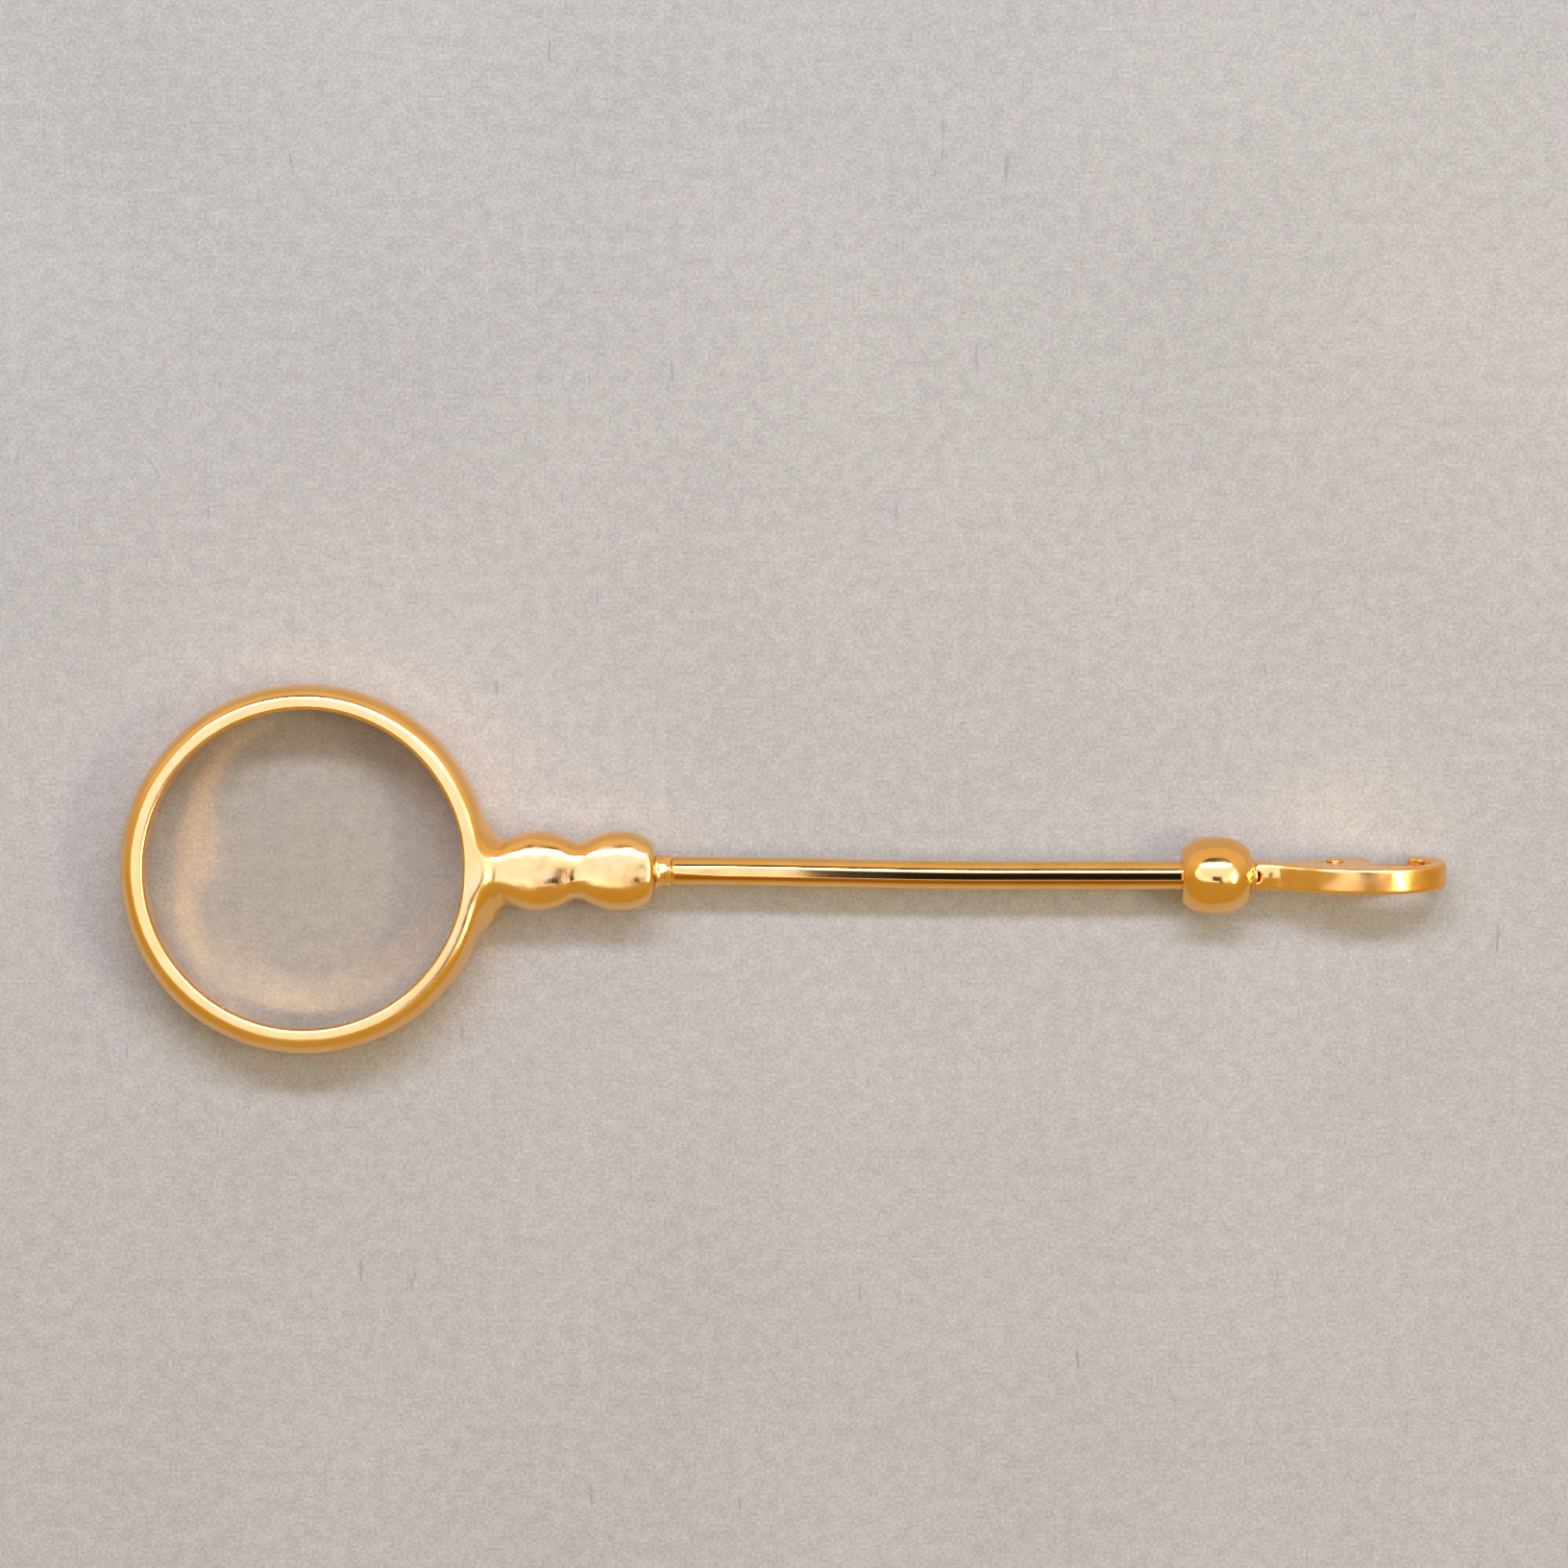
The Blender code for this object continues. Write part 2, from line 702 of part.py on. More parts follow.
def main():
    clear_scene()
    parts = new_collection("jewelers_loupe")
    cutters = new_collection("cutters")
    polished = new_material("polished_gold", GOLD, 0.12, 1)
    satin = new_material("satin_gold", PALE_GOLD, 0.22, 1)
    steel = new_material("spring_steel", STEEL, 0.3, 1)
    glass = new_material("lens_glass", GLASS, 0.02, 0)

    lens_frame(parts, cutters, satin)
    lens(parts, glass)
    lens_retaining_ring(parts, cutters, polished)
    neck_collar(parts, satin)
    handle_rod(parts, cutters, polished)
    swivel_head(parts, polished)

    swivel_axis = empty(
        "swivel_axis", (HOOK_X, SWIVEL_SIDE, AXIS_HEIGHT), parts, roll=HOOK_ROLL
    )
    swivel_barrel(parts, swivel_axis, polished)
    barrel_plug(parts, swivel_axis, polished)
    clasp_body(parts, cutters, swivel_axis, polished)
    pivot = empty("lever_axis", (PIVOT_ALONG, 0, PIVOT_UP), parts, swivel_axis)
    clasp_lever(parts, cutters, pivot, polished)
    lever_rivet(parts, pivot, polished)
    lever_spring(parts, pivot, steel)

    for helper in cutters.objects:
        helper.hide_render = True
        helper.display_type = "WIRE"


main()
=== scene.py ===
"""The looks of a gold-plated jeweller's loupe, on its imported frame.

Every piece is made in millimetres and placed from the frame's boxes and joints: the cast
lens frame, its lens and snap ring, the collar, the bowed wire, and the swivel with its
snap hook. After them come the materials, the paper that it lies on, the light and the
camera.
"""

import json
import math

import bmesh
import bpy
import numpy as np
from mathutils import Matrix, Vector


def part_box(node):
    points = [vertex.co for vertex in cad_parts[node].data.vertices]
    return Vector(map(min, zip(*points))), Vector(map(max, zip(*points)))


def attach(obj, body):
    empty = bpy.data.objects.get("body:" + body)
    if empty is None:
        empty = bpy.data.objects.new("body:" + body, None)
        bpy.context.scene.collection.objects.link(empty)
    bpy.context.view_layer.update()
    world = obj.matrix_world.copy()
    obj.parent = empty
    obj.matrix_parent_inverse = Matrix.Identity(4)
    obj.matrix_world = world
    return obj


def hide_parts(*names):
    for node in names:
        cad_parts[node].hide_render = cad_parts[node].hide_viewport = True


MM = 0.001

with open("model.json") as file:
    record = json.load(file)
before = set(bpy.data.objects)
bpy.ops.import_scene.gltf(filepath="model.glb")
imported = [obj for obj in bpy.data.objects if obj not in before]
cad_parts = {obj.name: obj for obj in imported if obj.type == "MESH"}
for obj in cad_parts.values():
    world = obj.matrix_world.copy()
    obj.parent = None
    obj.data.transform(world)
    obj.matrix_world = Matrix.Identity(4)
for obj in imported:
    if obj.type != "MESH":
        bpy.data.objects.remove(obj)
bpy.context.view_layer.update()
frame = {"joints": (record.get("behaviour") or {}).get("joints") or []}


def box_mm(node):
    low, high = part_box(node)
    return np.array(low) / MM, np.array(high) / MM


def joint_named(name):
    return next(joint for joint in frame["joints"] if joint["name"] == name)


# Places that the frame gives, in millimetres
FRAME_LOW, FRAME_HIGH = box_mm("lens_frame")
COLLAR_LOW, COLLAR_HIGH = box_mm("neck_collar")
BARREL_LOW, BARREL_HIGH = box_mm("swivel_barrel")
LENS_LOW, LENS_HIGH = box_mm("lens")
SNAP_LOW, SNAP_HIGH = box_mm("lens_retaining_ring")
ROD_LOW, ROD_HIGH = box_mm("handle_rod")
HEAD_LOW, HEAD_HIGH = box_mm("swivel_head")
PLUG_LOW, PLUG_HIGH = box_mm("barrel_plug")
_, HOOK_HIGH = box_mm("clasp_body")
SWIVEL = np.array(joint_named("clasp_swivel")["pos_m"]) / MM
PIVOT = np.array(joint_named("lever_hinge")["pos_m"]) / MM
HINGE_AXIS = np.array(joint_named("lever_hinge")["axis"])
RING_R = (FRAME_HIGH[1] - FRAME_LOW[1]) / 2
RING_CENTRE = np.array([FRAME_LOW[0] + RING_R, (FRAME_LOW[1] + FRAME_HIGH[1]) / 2, 0])
STEM_AXIS = (COLLAR_LOW + COLLAR_HIGH) / 2
HALF_HEIGHT = STEM_AXIS[2]
HOOK_ROLL = math.atan2(-HINGE_AXIS[2], -HINGE_AXIS[1])

# Fits and tools
FIT_GAP = 0.03  # between pieces that touch
RUNNING_GAP = 0.05  # between pieces that turn on each other
CUT_REACH = 0.3  # how far a cutter passes the face that it cuts
ROUND = 128  # steps in a full turn
FINE = 96  # the same on a thinner piece
SMALL = 64  # and on a hidden one
PROBE = 1e-3
DRAW_STEPS = 4
EVEN_PASSES = 4
SHARP_ANGLE = math.radians(32)
EDGE_SEGMENTS = 3

# Lens frame
FRAME_VOXEL = 0.09
BORE_R = 8.95
CREST_R = 9.22
DOME_POWER = 2.7
CREST_EASE = 0.34
STEM_START = 9.75
STEM_END = FRAME_HIGH[0] - RING_CENTRE[0]
NECK_R = 1.45
NECK_END = 12.4
BEAD_R = 2.27
BEAD_INNER_HALF = 3.10
BEAD_OUTER_HALF = 2.50
BEAD_CENTRES = (12.95, 17.80)
BEAD_BLEND = 0.80
WAIST_FILL = 0.75
STEM_POWER = 2.9
STEM_END_EASE = 0.35
ROOT_CENTRE = (9.9, -0.40)
ROOT_HALF = (1.35, 2.75, 1.60)
ROOT_BLEND = 0.8
STEM_BLEND = 0.9
FACE_BLEND = 0.06
RIPPLE_START = 9.6  # from the ring's centre
RIPPLE_RUN_IN = 1.2
RIPPLE_ON_RING = 0.10
SEAT_R = 9.37
SEAT_CHAMFER = 0.4
SEAT_TOP = 1.36
GROOVE_R = 9.58
GROOVE_LOW = 0.26
GROOVE_HIGH = 0.70
SOCKET_DEPTH = 3.3
SOCKET_MOUTH = 0.12

# Lens and its snap ring
LENS_EDGE = 0.54
LENS_CHAMFER = 0.05
LENS_FACE = 0.995  # the polished share of the radius
SNAP_WIDTH = 0.56
SNAP_HALF_TURN = 172
SNAP_POWER = 6

# Wire, collar and swivel
COLLAR_TRIM = 0.985  # share of the frame's radius that leaves room for the lumps
COLLAR_FLANK = (  # (share of the length, share of the radius), from the beads to the wire
    (0, 0.93),
    (0.06, 0.985),
    (0.16, 0.98),
    (0.34, 0.90),
    (0.55, 0.86),
    (0.80, 0.88),
    (0.94, 0.87),
    (1, 0.80),
)
COLLAR_LUMPS_FROM = 0.60
ROD_R = 0.80
ROD_EASE = (0.05, 0.01)  # of the shoulder's first two turns
ROD_BOW_END = 0.62
SHOULDER = 0.012  # length of the step down to a tenon
TENON_R = 0.50
TENON_CHAMFER = 0.08
FLAT_DEPTH = 0.042  # share of the radius that is worn off the wire's top
FLAT_START = -6.4
FLAT_RUN_IN = 3.4
FLAT_TILT = math.radians(-4.5)
FLAT_EDGE = 0.006
HEAD_EASE = 0.10
BARREL_R = 2.19
BARREL_HALF = 2.37
BARREL_POWER = 2.3
BARREL_END_WALL = 0.60
BARREL_BORE_R = 1.20
BARREL_EASE = 0.07
BARREL_EASE_ANGLE = 40
ROD_HOLE_R = ROD_R + RUNNING_GAP
GRAINS_FROM = (-0.75, -0.9)  # along and across the barrel
GRAINS_RUN_IN = (0.6, 0.8)
SOLDER_R = 0.76
SOLDER_FLANK = (  # (distance along, radius), from the barrel to the hook
    (0.0, SOLDER_R),
    (0.0, 1.12),
    (0.05, 1.10),
    (0.10, 1.00),
    (0.20, 0.86),
    (0.34, 0.79),
    (0.42, 0.765),
    (0.42, 0.755),
)

# Snap hook and lever
HOOK_VOXEL = 0.06
LEVER_VOXEL = 0.05
PLATE_GRID = 0.02
PLATE_MARGIN = 0.6
HOOK_LENGTH = HOOK_HIGH[0] - SWIVEL[0]
HOOK_THICKNESS = 1.45
HOOK_EASE = 0.20
FOOT_R = 0.68
STEM_R = 0.74
STEM_TIP_R = 0.50
STEM_TIP = 1.6
STEM_EASE = 0.06
HOLLOW_CENTRE = (0.34, 0.02, 0.80)  # of the dent that the solder left in the stem's top
HOLLOW_HALF = (0.34, 0.40, 0.26)
HOLLOW_EASE = 0.08
SHANK_R = 0.50
SHANK_LENGTH = 1.25
HOOK_BLEND = 0.45
SLOT_WIDTH = 0.84
SLOT = (4.0, 8.0)
SLOT_TOP = 0.60
SLOT_BOTTOM = -3
LEVER_THICKNESS = 0.76
LEVER_EASE = 0.12
LEVER_BLEND = 0.25
EYE_R = 0.72
EYE_THICKNESS = 0.37
POCKET_R = 0.98
RIVET_R = 0.30
RIVET_HEAD_R = 0.52
RIVET_HEAD_RISE = 0.16
SPRING_WIRE_R = 0.07
SPRING_R = 0.43
SPRING_TURNS = 1.5
SPRING_PITCH = 2.2 * SPRING_WIRE_R
SPRING_STEPS = 48  # in a full turn
SPRING_LEG = 0.36

# Unevenness: a seed, the shortest and the longest wave, and the height
FRAME_RIPPLE = (3, 0.75, 1.7, 0.0062)
FRAME_DRIFT = (5, 3.0, 9.0, 0.009)
COLLAR_LUMPS = (11, 0.35, 0.9, 0.022)
WIRE_WANDER = (21, 4.0, 11.0, 0.0035)  # whose height is a share of the radius
BARREL_DRIFT = (31, 1.6, 4.0, 0.006)
BARREL_GRAINS = (33, 0.22, 0.5, 0.010)
SOLDER_LUMPS = (41, 0.25, 0.6, 0.035)
HOOK_DRIFT = (51, 1.4, 3.5, 0.005)

# Finishes, where a crevice is told by the least pointiness of its surface; crevices get a dark
# brown that is partly tarnish and partly painted shade
GOLD = ((1.0, 0.58, 0.185), (0.98, 0.52, 0.145))
PALE_GOLD = ((1.0, 0.60, 0.215), (1.0, 0.54, 0.16))
WIRE_GOLD = ((1.0, 0.57, 0.18), (0.96, 0.51, 0.14))
STEEL = ((0.62, 0.61, 0.59), (0.50, 0.49, 0.48))
TARNISH_AND_SHADE = (0.34, 0.13, 0.035, 1)
CREVICE_DARKENING = (0.472, 0.494)
# A painted reflection on the wire: brown where its surface faces up and a little towards -Y
PAINTED_REFLECTION_BROWN = (0.50, 0.16, 0.035, 1)
REFLECTION_TILT = math.radians(27)
REFLECTION_BAND = (0.975, 0.992)
REFLECTION_SHARE = 0.85
RING_STRETCH = (0.10, 1.0, 1.0)
WIRE_STRETCH = (0.05, 1.6, 1.6)
FIBRE_STRETCH = (1.0, 0.12, 1.0)
GLASS_TINTS = ((0.955, 0.93, 0.89, 1), (0.94, 0.92, 0.88, 1))
GLASS_SHADOW = (0.95, 0.93, 0.89, 1)
GLASS_COATING = (0.06, 0.05, 0.07, 1)
GLASS_IOR = 1.52

# Paper and lights, in metres
PAPER_DARK = (0.226, 0.205, 0.150, 1)
PAPER_LIGHT = (0.486, 0.438, 0.319, 1)
PAPER_FIBRE = (0.20, 0.18, 0.16, 1)
FLOOR_SIZE = 6.0
SKY_SHADE = (0.05, 0.04, 0.03, 1)
SKY_NEAR = (0.52, 0.38, 0.10, 1)
SKY_FAR = (0.80, 0.66, 0.42, 1)
SKY_TURN = (-0.1, 0.5)  # how far towards +Y the near sky gives way to the far
SKY_SHADE_TILT = math.radians(22)
SKY_EDGE = (math.cos(math.radians(35)), math.cos(math.radians(30)))
DOME_PLACE = (0.0, 0.045, 0.34)
DOME_SIZE = (0.70, 0.36)
DOME_RADIANCE = 1.10
DOME_COLOUR = (1.0, 1.19, 1.95)
STRIP_PLACE = (0.0, 0.235, 0.36)
STRIP_SIZE = (0.50, 0.06)
STRIP_RADIANCE = 17.0
SHADE_PLACE = (0.036, -0.052, 0.30)
SHADE_SIZE = (0.070, 0.075)
SHADE_GREY = 0.01
STAND_PLACE = (0.066, -0.095, 0.30)
STAND_SIZE = (0.034, 0.05)
STAND_GREY = 0.03
KEY_PLACE = (0.30, -0.045, 0.35)
KEY_SIZE = (0.20, 0.07)
KEY_RADIANCE = 20
KEY_COLOUR = (1.0, 0.95, 0.86)
CAMERA_PLACE = (0, 0.0048, 0.3283)
CAMERA_LENS = 132.5


# Shapes as numbers


def blended_max(a, b, blend):
    """The larger of two fields, rounded off where they are close."""
    near = np.maximum(blend - np.abs(a - b), 0) / blend
    return np.maximum(a, b) + near * near * blend / 4


def blended_min(a, b, blend):
    return -blended_max(-a, -b, blend)


def superellipse(share, power):
    return np.maximum(1 - np.abs(share) ** power, 0) ** (1 / power)


def superellipse_field(across, up, half_across, half_up, power):
    """Near its outline, the distance out of a superellipse."""
    a = np.abs(across / half_across)
    b = np.abs(up / half_up)
    size = np.maximum((a**power + b**power) ** (1 / power), 1e-6)
    slope = np.hypot(a ** (power - 1) / half_across, b ** (power - 1) / half_up)
    return (size - 1) * size ** (power - 1) / np.maximum(slope, 1e-6)


def ellipsoid_field(offsets, halves):
    scaled = offsets / halves
    size = np.sqrt((scaled**2).sum(1))
    slope = np.sqrt(((scaled / halves) ** 2).sum(1))
    return (size - 1) * size / np.maximum(slope, 1e-6)


def waves(seed, shortest, longest, height, count=28):
    """A smooth random field of about that height, from waves between two lengths."""
    random = np.random.default_rng(seed)
    heading = random.normal(size=(count, 3))
    heading /= np.linalg.norm(heading, axis=1)[:, None]
    lengths = random.uniform(shortest, longest, count)
    turns = heading * math.tau / lengths[:, None]
    starts = random.uniform(0, math.tau, count)

    def field(points):
        return height * np.sin(points @ turns.T + starts).sum(1) / math.sqrt(count / 2)

    return field


def ease(share):
    share = np.clip(share, 0, 1)
    return share * share * (3 - 2 * share)


def outside(radius, run_in, axis=(0, 0)):
    """A share that rises from none to one beyond a radius about a lengthwise axis."""

    def share(points):
        out = np.hypot(points[:, 1] - axis[0], points[:, 2] - axis[1])
        return ease((out - radius) / run_in)

    return share


# Meshes


def mesh_object(name, points, faces):
    mesh = bpy.data.meshes.new(name)
    mesh.from_pydata(np.asarray(points).tolist(), [], np.asarray(faces).tolist())
    made = bpy.data.objects.new(name, mesh)
    bpy.context.scene.collection.objects.link(made)
    return made


def coordinates(mesh):
    points = np.empty(len(mesh.vertices) * 3)
    mesh.vertices.foreach_get("co", points)
    return points.reshape(-1, 3)


def set_coordinates(mesh, points):
    mesh.vertices.foreach_set("co", points.astype(np.float32).ravel())
    mesh.update()


def cleaned(obj):
    """The same mesh, with meeting points made one, open ends closed and faces turned out."""
    shape = bmesh.new()
    shape.from_mesh(obj.data)
    bmesh.ops.remove_doubles(shape, verts=shape.verts, dist=1e-5)
    bmesh.ops.holes_fill(shape, edges=shape.edges)
    bmesh.ops.recalc_face_normals(shape, faces=shape.faces)
    shape.to_mesh(obj.data)
    shape.free()
    return obj


def grid_faces(rows, columns, closed_rows=False):
    """Quads of a grid whose columns run round, and whose rows may."""
    row = np.arange(rows if closed_rows else rows - 1)
    column = np.arange(columns)
    row, column = (part.ravel() for part in np.meshgrid(row, column, indexing="ij"))
    below = (row + 1) % rows
    beside = (column + 1) % columns
    corners = (row * columns + column, row * columns + beside)
    others = (below * columns + beside, below * columns + column)
    return np.stack(corners + others, axis=1)


def turned(name, profile, axis="X", centre=(0, 0, 0), steps=ROUND, closed=True):
    """A solid turned about an axis from (distance along it, radius) points."""
    profile = np.asarray(profile, float)
    turn = np.arange(steps) * math.tau / steps
    along = np.repeat(profile[:, 0], steps)
    out = np.repeat(profile[:, 1], steps)
    first = out * np.tile(np.cos(turn), len(profile))
    second = out * np.tile(np.sin(turn), len(profile))
    order = {
        "X": (along, first, second),
        "Y": (second, along, first),
        "Z": (first, second, along),
    }
    points = np.stack(order[axis], axis=1) + centre
    return cleaned(mesh_object(name, points, grid_faces(len(profile), steps, closed)))


def swept(name, path, radii, upright, section=None, steps=48):
    """A wire along the path, whose radius may change. Section gives each turn's share of it."""
    path = np.asarray(path, float)
    radii = np.broadcast_to(np.asarray(radii, float), len(path))
    ahead = np.gradient(path, axis=0)
    ahead /= np.linalg.norm(ahead, axis=1)[:, None]
    side = np.cross(np.broadcast_to(upright, ahead.shape), ahead)
    side /= np.linalg.norm(side, axis=1)[:, None]
    up = np.cross(ahead, side)
    turn = np.arange(steps) * math.tau / steps
    shares = np.ones((len(path), steps)) if section is None else section(path, turn)
    out = radii[:, None] * shares
    points = (
        path[:, None]
        + side[:, None] * (out * np.sin(turn))[..., None]
        + up[:, None] * (out * np.cos(turn))[..., None]
    )
    return cleaned(mesh_object(name, points.reshape(-1, 3), grid_faces(len(path), steps)))


def applied(obj):
    """The object with its modifiers made part of its mesh."""
    bpy.context.view_layer.update()
    graph = bpy.context.evaluated_depsgraph_get()
    mesh = bpy.data.meshes.new_from_object(obj.evaluated_get(graph))
    obj.modifiers.clear()
    obj.data = mesh
    return obj


def cut(obj, *cutters, operation="DIFFERENCE"):
    for cutter in cutters:
        step = obj.modifiers.new(cutter.name, "BOOLEAN")
        step.operation = operation
        step.object = cutter
        step.solver = "EXACT"
    applied(obj)
    for cutter in cutters:
        bpy.data.objects.remove(cutter, do_unlink=True)
    return obj


def eased_edges(obj, width, angle=35):
    step = obj.modifiers.new("Edge", "BEVEL")
    step.width = width
    step.segments = EDGE_SEGMENTS
    step.limit_method = "ANGLE"
    step.angle_limit = math.radians(angle)
    return applied(obj)


def evened(points, edges):
    """Each point moved half way to the middle of its neighbours."""
    count = np.bincount(edges.ravel(), minlength=len(points))
    total = np.zeros_like(points)
    for axis in range(3):
        for here, there in ((0, 1), (1, 0)):
            total[:, axis] += np.bincount(
                edges[:, here], points[edges[:, there], axis], len(points)
            )
    return (points + total / count[:, None]) / 2


def on_surface(points, field, longest):
    """The points drawn along the field's slope to where it is zero."""
    for _ in range(DRAW_STEPS):
        slope = np.stack(
            [
                (field(points + step) - field(points - step)) / (2 * PROBE)
                for step in np.eye(3) * PROBE
            ],
            axis=1,
        )
        reach = field(points) / np.maximum((slope**2).sum(1), 0.1)
        points = points - slope * np.clip(reach, -longest, longest)[:, None]
    return points


def skin(name, seeds, field, voxel):
    """One even skin over the seed shapes, drawn onto the surface where the field is zero."""
    rough = seeds[0]
    rough.name = name
    with bpy.context.temp_override(active_object=rough, selected_editable_objects=seeds):
        bpy.ops.object.join()
    step = rough.modifiers.new("Skin", "REMESH")
    step.mode = "VOXEL"
    step.voxel_size = voxel
    applied(rough)
    mesh = rough.data
    edges = np.empty(len(mesh.edges) * 2, np.int32)
    mesh.edges.foreach_get("vertices", edges)
    edges = edges.reshape(-1, 2)
    points = coordinates(mesh)
    for _ in range(EVEN_PASSES):
        points = on_surface(evened(points, edges), field, voxel)
    set_coordinates(mesh, points)
    return rough


def roughened(obj, height, amount=None):
    """Moves each point out by the height field, times an amount that may vary over it."""
    mesh = obj.data
    points = coordinates(mesh)
    normals = np.empty(len(points) * 3)
    mesh.vertices.foreach_get("normal", normals)
    rise = height(points)
    if amount is not None:
        rise = rise * amount(points)
    set_coordinates(mesh, points + normals.reshape(-1, 3) * rise[:, None])
    return obj


# Lens frame


def ring_field(points):
    """The D-section band: a dome outside, a straight bore with an eased upper edge inside."""
    out = np.hypot(points[:, 0] - RING_CENTRE[0], points[:, 1] - RING_CENTRE[1])
    up = points[:, 2] - HALF_HEIGHT
    dome = superellipse_field(out - CREST_R, up, RING_R - CREST_R, HALF_HEIGHT, DOME_POWER)
    return blended_max(dome, BORE_R - out, CREST_EASE)


def stem_outline():
    """(distance from the ring's centre, radius) along the neck and the two beads."""
    along = np.linspace(STEM_START - 1, STEM_END + 1, 1200)
    radius = np.where(along < NECK_END, NECK_R, 0.1)
    middle = sum(BEAD_CENTRES) / 2
    for centre in BEAD_CENTRES:
        outer_side = np.abs(along - middle) > abs(centre - middle)
        half = np.where(outer_side, BEAD_OUTER_HALF, BEAD_INNER_HALF)
        bead = BEAD_R * superellipse((along - centre) / half, 2)
        radius = blended_max(radius, bead, BEAD_BLEND)
    return along, np.minimum(radius, BEAD_R)


STEM_OUTLINE = stem_outline()


def stem_field(points):
    """The beads and neck, whose upper and lower faces are flatter than their sides."""
    along = points[:, 0] - RING_CENTRE[0]
    radius = np.interp(along, *STEM_OUTLINE)
    height = radius + (BEAD_R - radius) * WAIST_FILL
    across = points[:, 1] - STEM_AXIS[1]
    up = points[:, 2] - STEM_AXIS[2]
    side = superellipse_field(across, up, radius, height, STEM_POWER)
    slope = np.interp(along, STEM_OUTLINE[0], np.gradient(STEM_OUTLINE[1], STEM_OUTLINE[0]))
    side = side / np.sqrt(1 + slope**2)
    side = blended_max(side, along - STEM_END, STEM_END_EASE)
    return np.maximum(side, STEM_START - along)


def frame_field(points):
    along, side = ROOT_CENTRE
    root_centre = np.array([RING_CENTRE[0] + along, STEM_AXIS[1] + side, HALF_HEIGHT])
    root = ellipsoid_field(points - root_centre, np.array(ROOT_HALF))
    stem = blended_min(stem_field(points), root, ROOT_BLEND)
    cast = blended_min(ring_field(points), stem, STEM_BLEND)
    out = np.hypot(points[:, 0] - RING_CENTRE[0], points[:, 1] - RING_CENTRE[1])
    cast = np.maximum(cast, BORE_R - out)
    faces = np.abs(points[:, 2] - HALF_HEIGHT) - HALF_HEIGHT
    return blended_max(cast, faces, FACE_BLEND)


def ring_seed():
    turn = np.linspace(0, math.pi, 33)
    dome = CREST_R + (RING_R - CREST_R) * superellipse(np.cos(turn), DOME_POWER)
    section = list(zip(HALF_HEIGHT + HALF_HEIGHT * np.cos(turn), dome))
    section += [(0, BORE_R), (2 * HALF_HEIGHT, BORE_R)]
    return turned("ring_seed", section, "Z", RING_CENTRE)


def on_stem_axis(name, profile):
    """A solid turned about the stem's axis, from distances from the ring's centre."""
    centre = (RING_CENTRE[0], STEM_AXIS[1], STEM_AXIS[2])
    return turned(name, profile, "X", centre, SMALL, closed=False)


def stem_seed():
    along, radius = (part[::12] for part in STEM_OUTLINE)
    inside = (along > STEM_START) & (along < STEM_END)
    flank = list(zip(along[inside], radius[inside]))
    return on_stem_axis("stem_seed", [(STEM_START, 0)] + flank + [(STEM_END, 0)])


def seat_cutter():
    """The lens's seat and the snap ring's groove."""
    seat = [
        (-CUT_REACH, SEAT_R + SEAT_CHAMFER),
        (0.10, SEAT_R),
        (GROOVE_LOW, SEAT_R),
        (GROOVE_LOW, GROOVE_R),
        (GROOVE_HIGH, GROOVE_R),
        (GROOVE_HIGH, SEAT_R),
        (SEAT_TOP, SEAT_R),
        (SEAT_TOP, BORE_R - 2),
        (-CUT_REACH, BORE_R - 2),
    ]
    return turned("lens_seat", seat, "Z", RING_CENTRE, 2 * ROUND)


def socket_cutter():
    """The hole for the wire's tenon, with a countersunk mouth."""
    radius = TENON_R + FIT_GAP
    socket = [
        (STEM_END - SOCKET_DEPTH, 0),
        (STEM_END - SOCKET_DEPTH, radius),
        (STEM_END - SOCKET_MOUTH, radius),
        (STEM_END + 0.2, radius + 0.3),
        (STEM_END + 0.2, 0),
    ]
    return on_stem_axis("rod_socket", socket)


def lens_frame():
    made = skin("lens_frame_cast", [ring_seed(), stem_seed()], frame_field, FRAME_VOXEL)
    ripple = waves(*FRAME_RIPPLE)
    drift = waves(*FRAME_DRIFT)

    def height(points):
        along = points[:, 0] - RING_CENTRE[0]
        on_stem = ease((along - RIPPLE_START) / RIPPLE_RUN_IN)
        share = RIPPLE_ON_RING + (1 - RIPPLE_ON_RING) * on_stem
        return ripple(points) * share + drift(points)

    return cut(roughened(made, height), seat_cutter(), socket_cutter())


def lens():
    """A biconvex lens with a ground edge and small safety chamfers."""
    radius = (LENS_HIGH[1] - LENS_LOW[1]) / 2
    middle = (LENS_HIGH[2] + LENS_LOW[2]) / 2
    half_edge = LENS_EDGE / 2
    sag = (LENS_HIGH[2] - LENS_LOW[2]) / 2 - half_edge
    curvature = (radius**2 + sag**2) / (2 * sag)
    out = radius * np.linspace(0, LENS_FACE, 48)
    rise = np.sqrt(curvature**2 - out**2) - (curvature - sag)
    upper = list(zip(middle + half_edge + rise, out))
    half_rim = half_edge - LENS_CHAMFER
    rim = [(middle + half_rim, radius), (middle - half_rim, radius)]
    lower = [(2 * middle - up, across) for up, across in reversed(upper)]
    return turned("lens_glass_blank", upper + rim + lower, "Z", RING_CENTRE, 192, False)


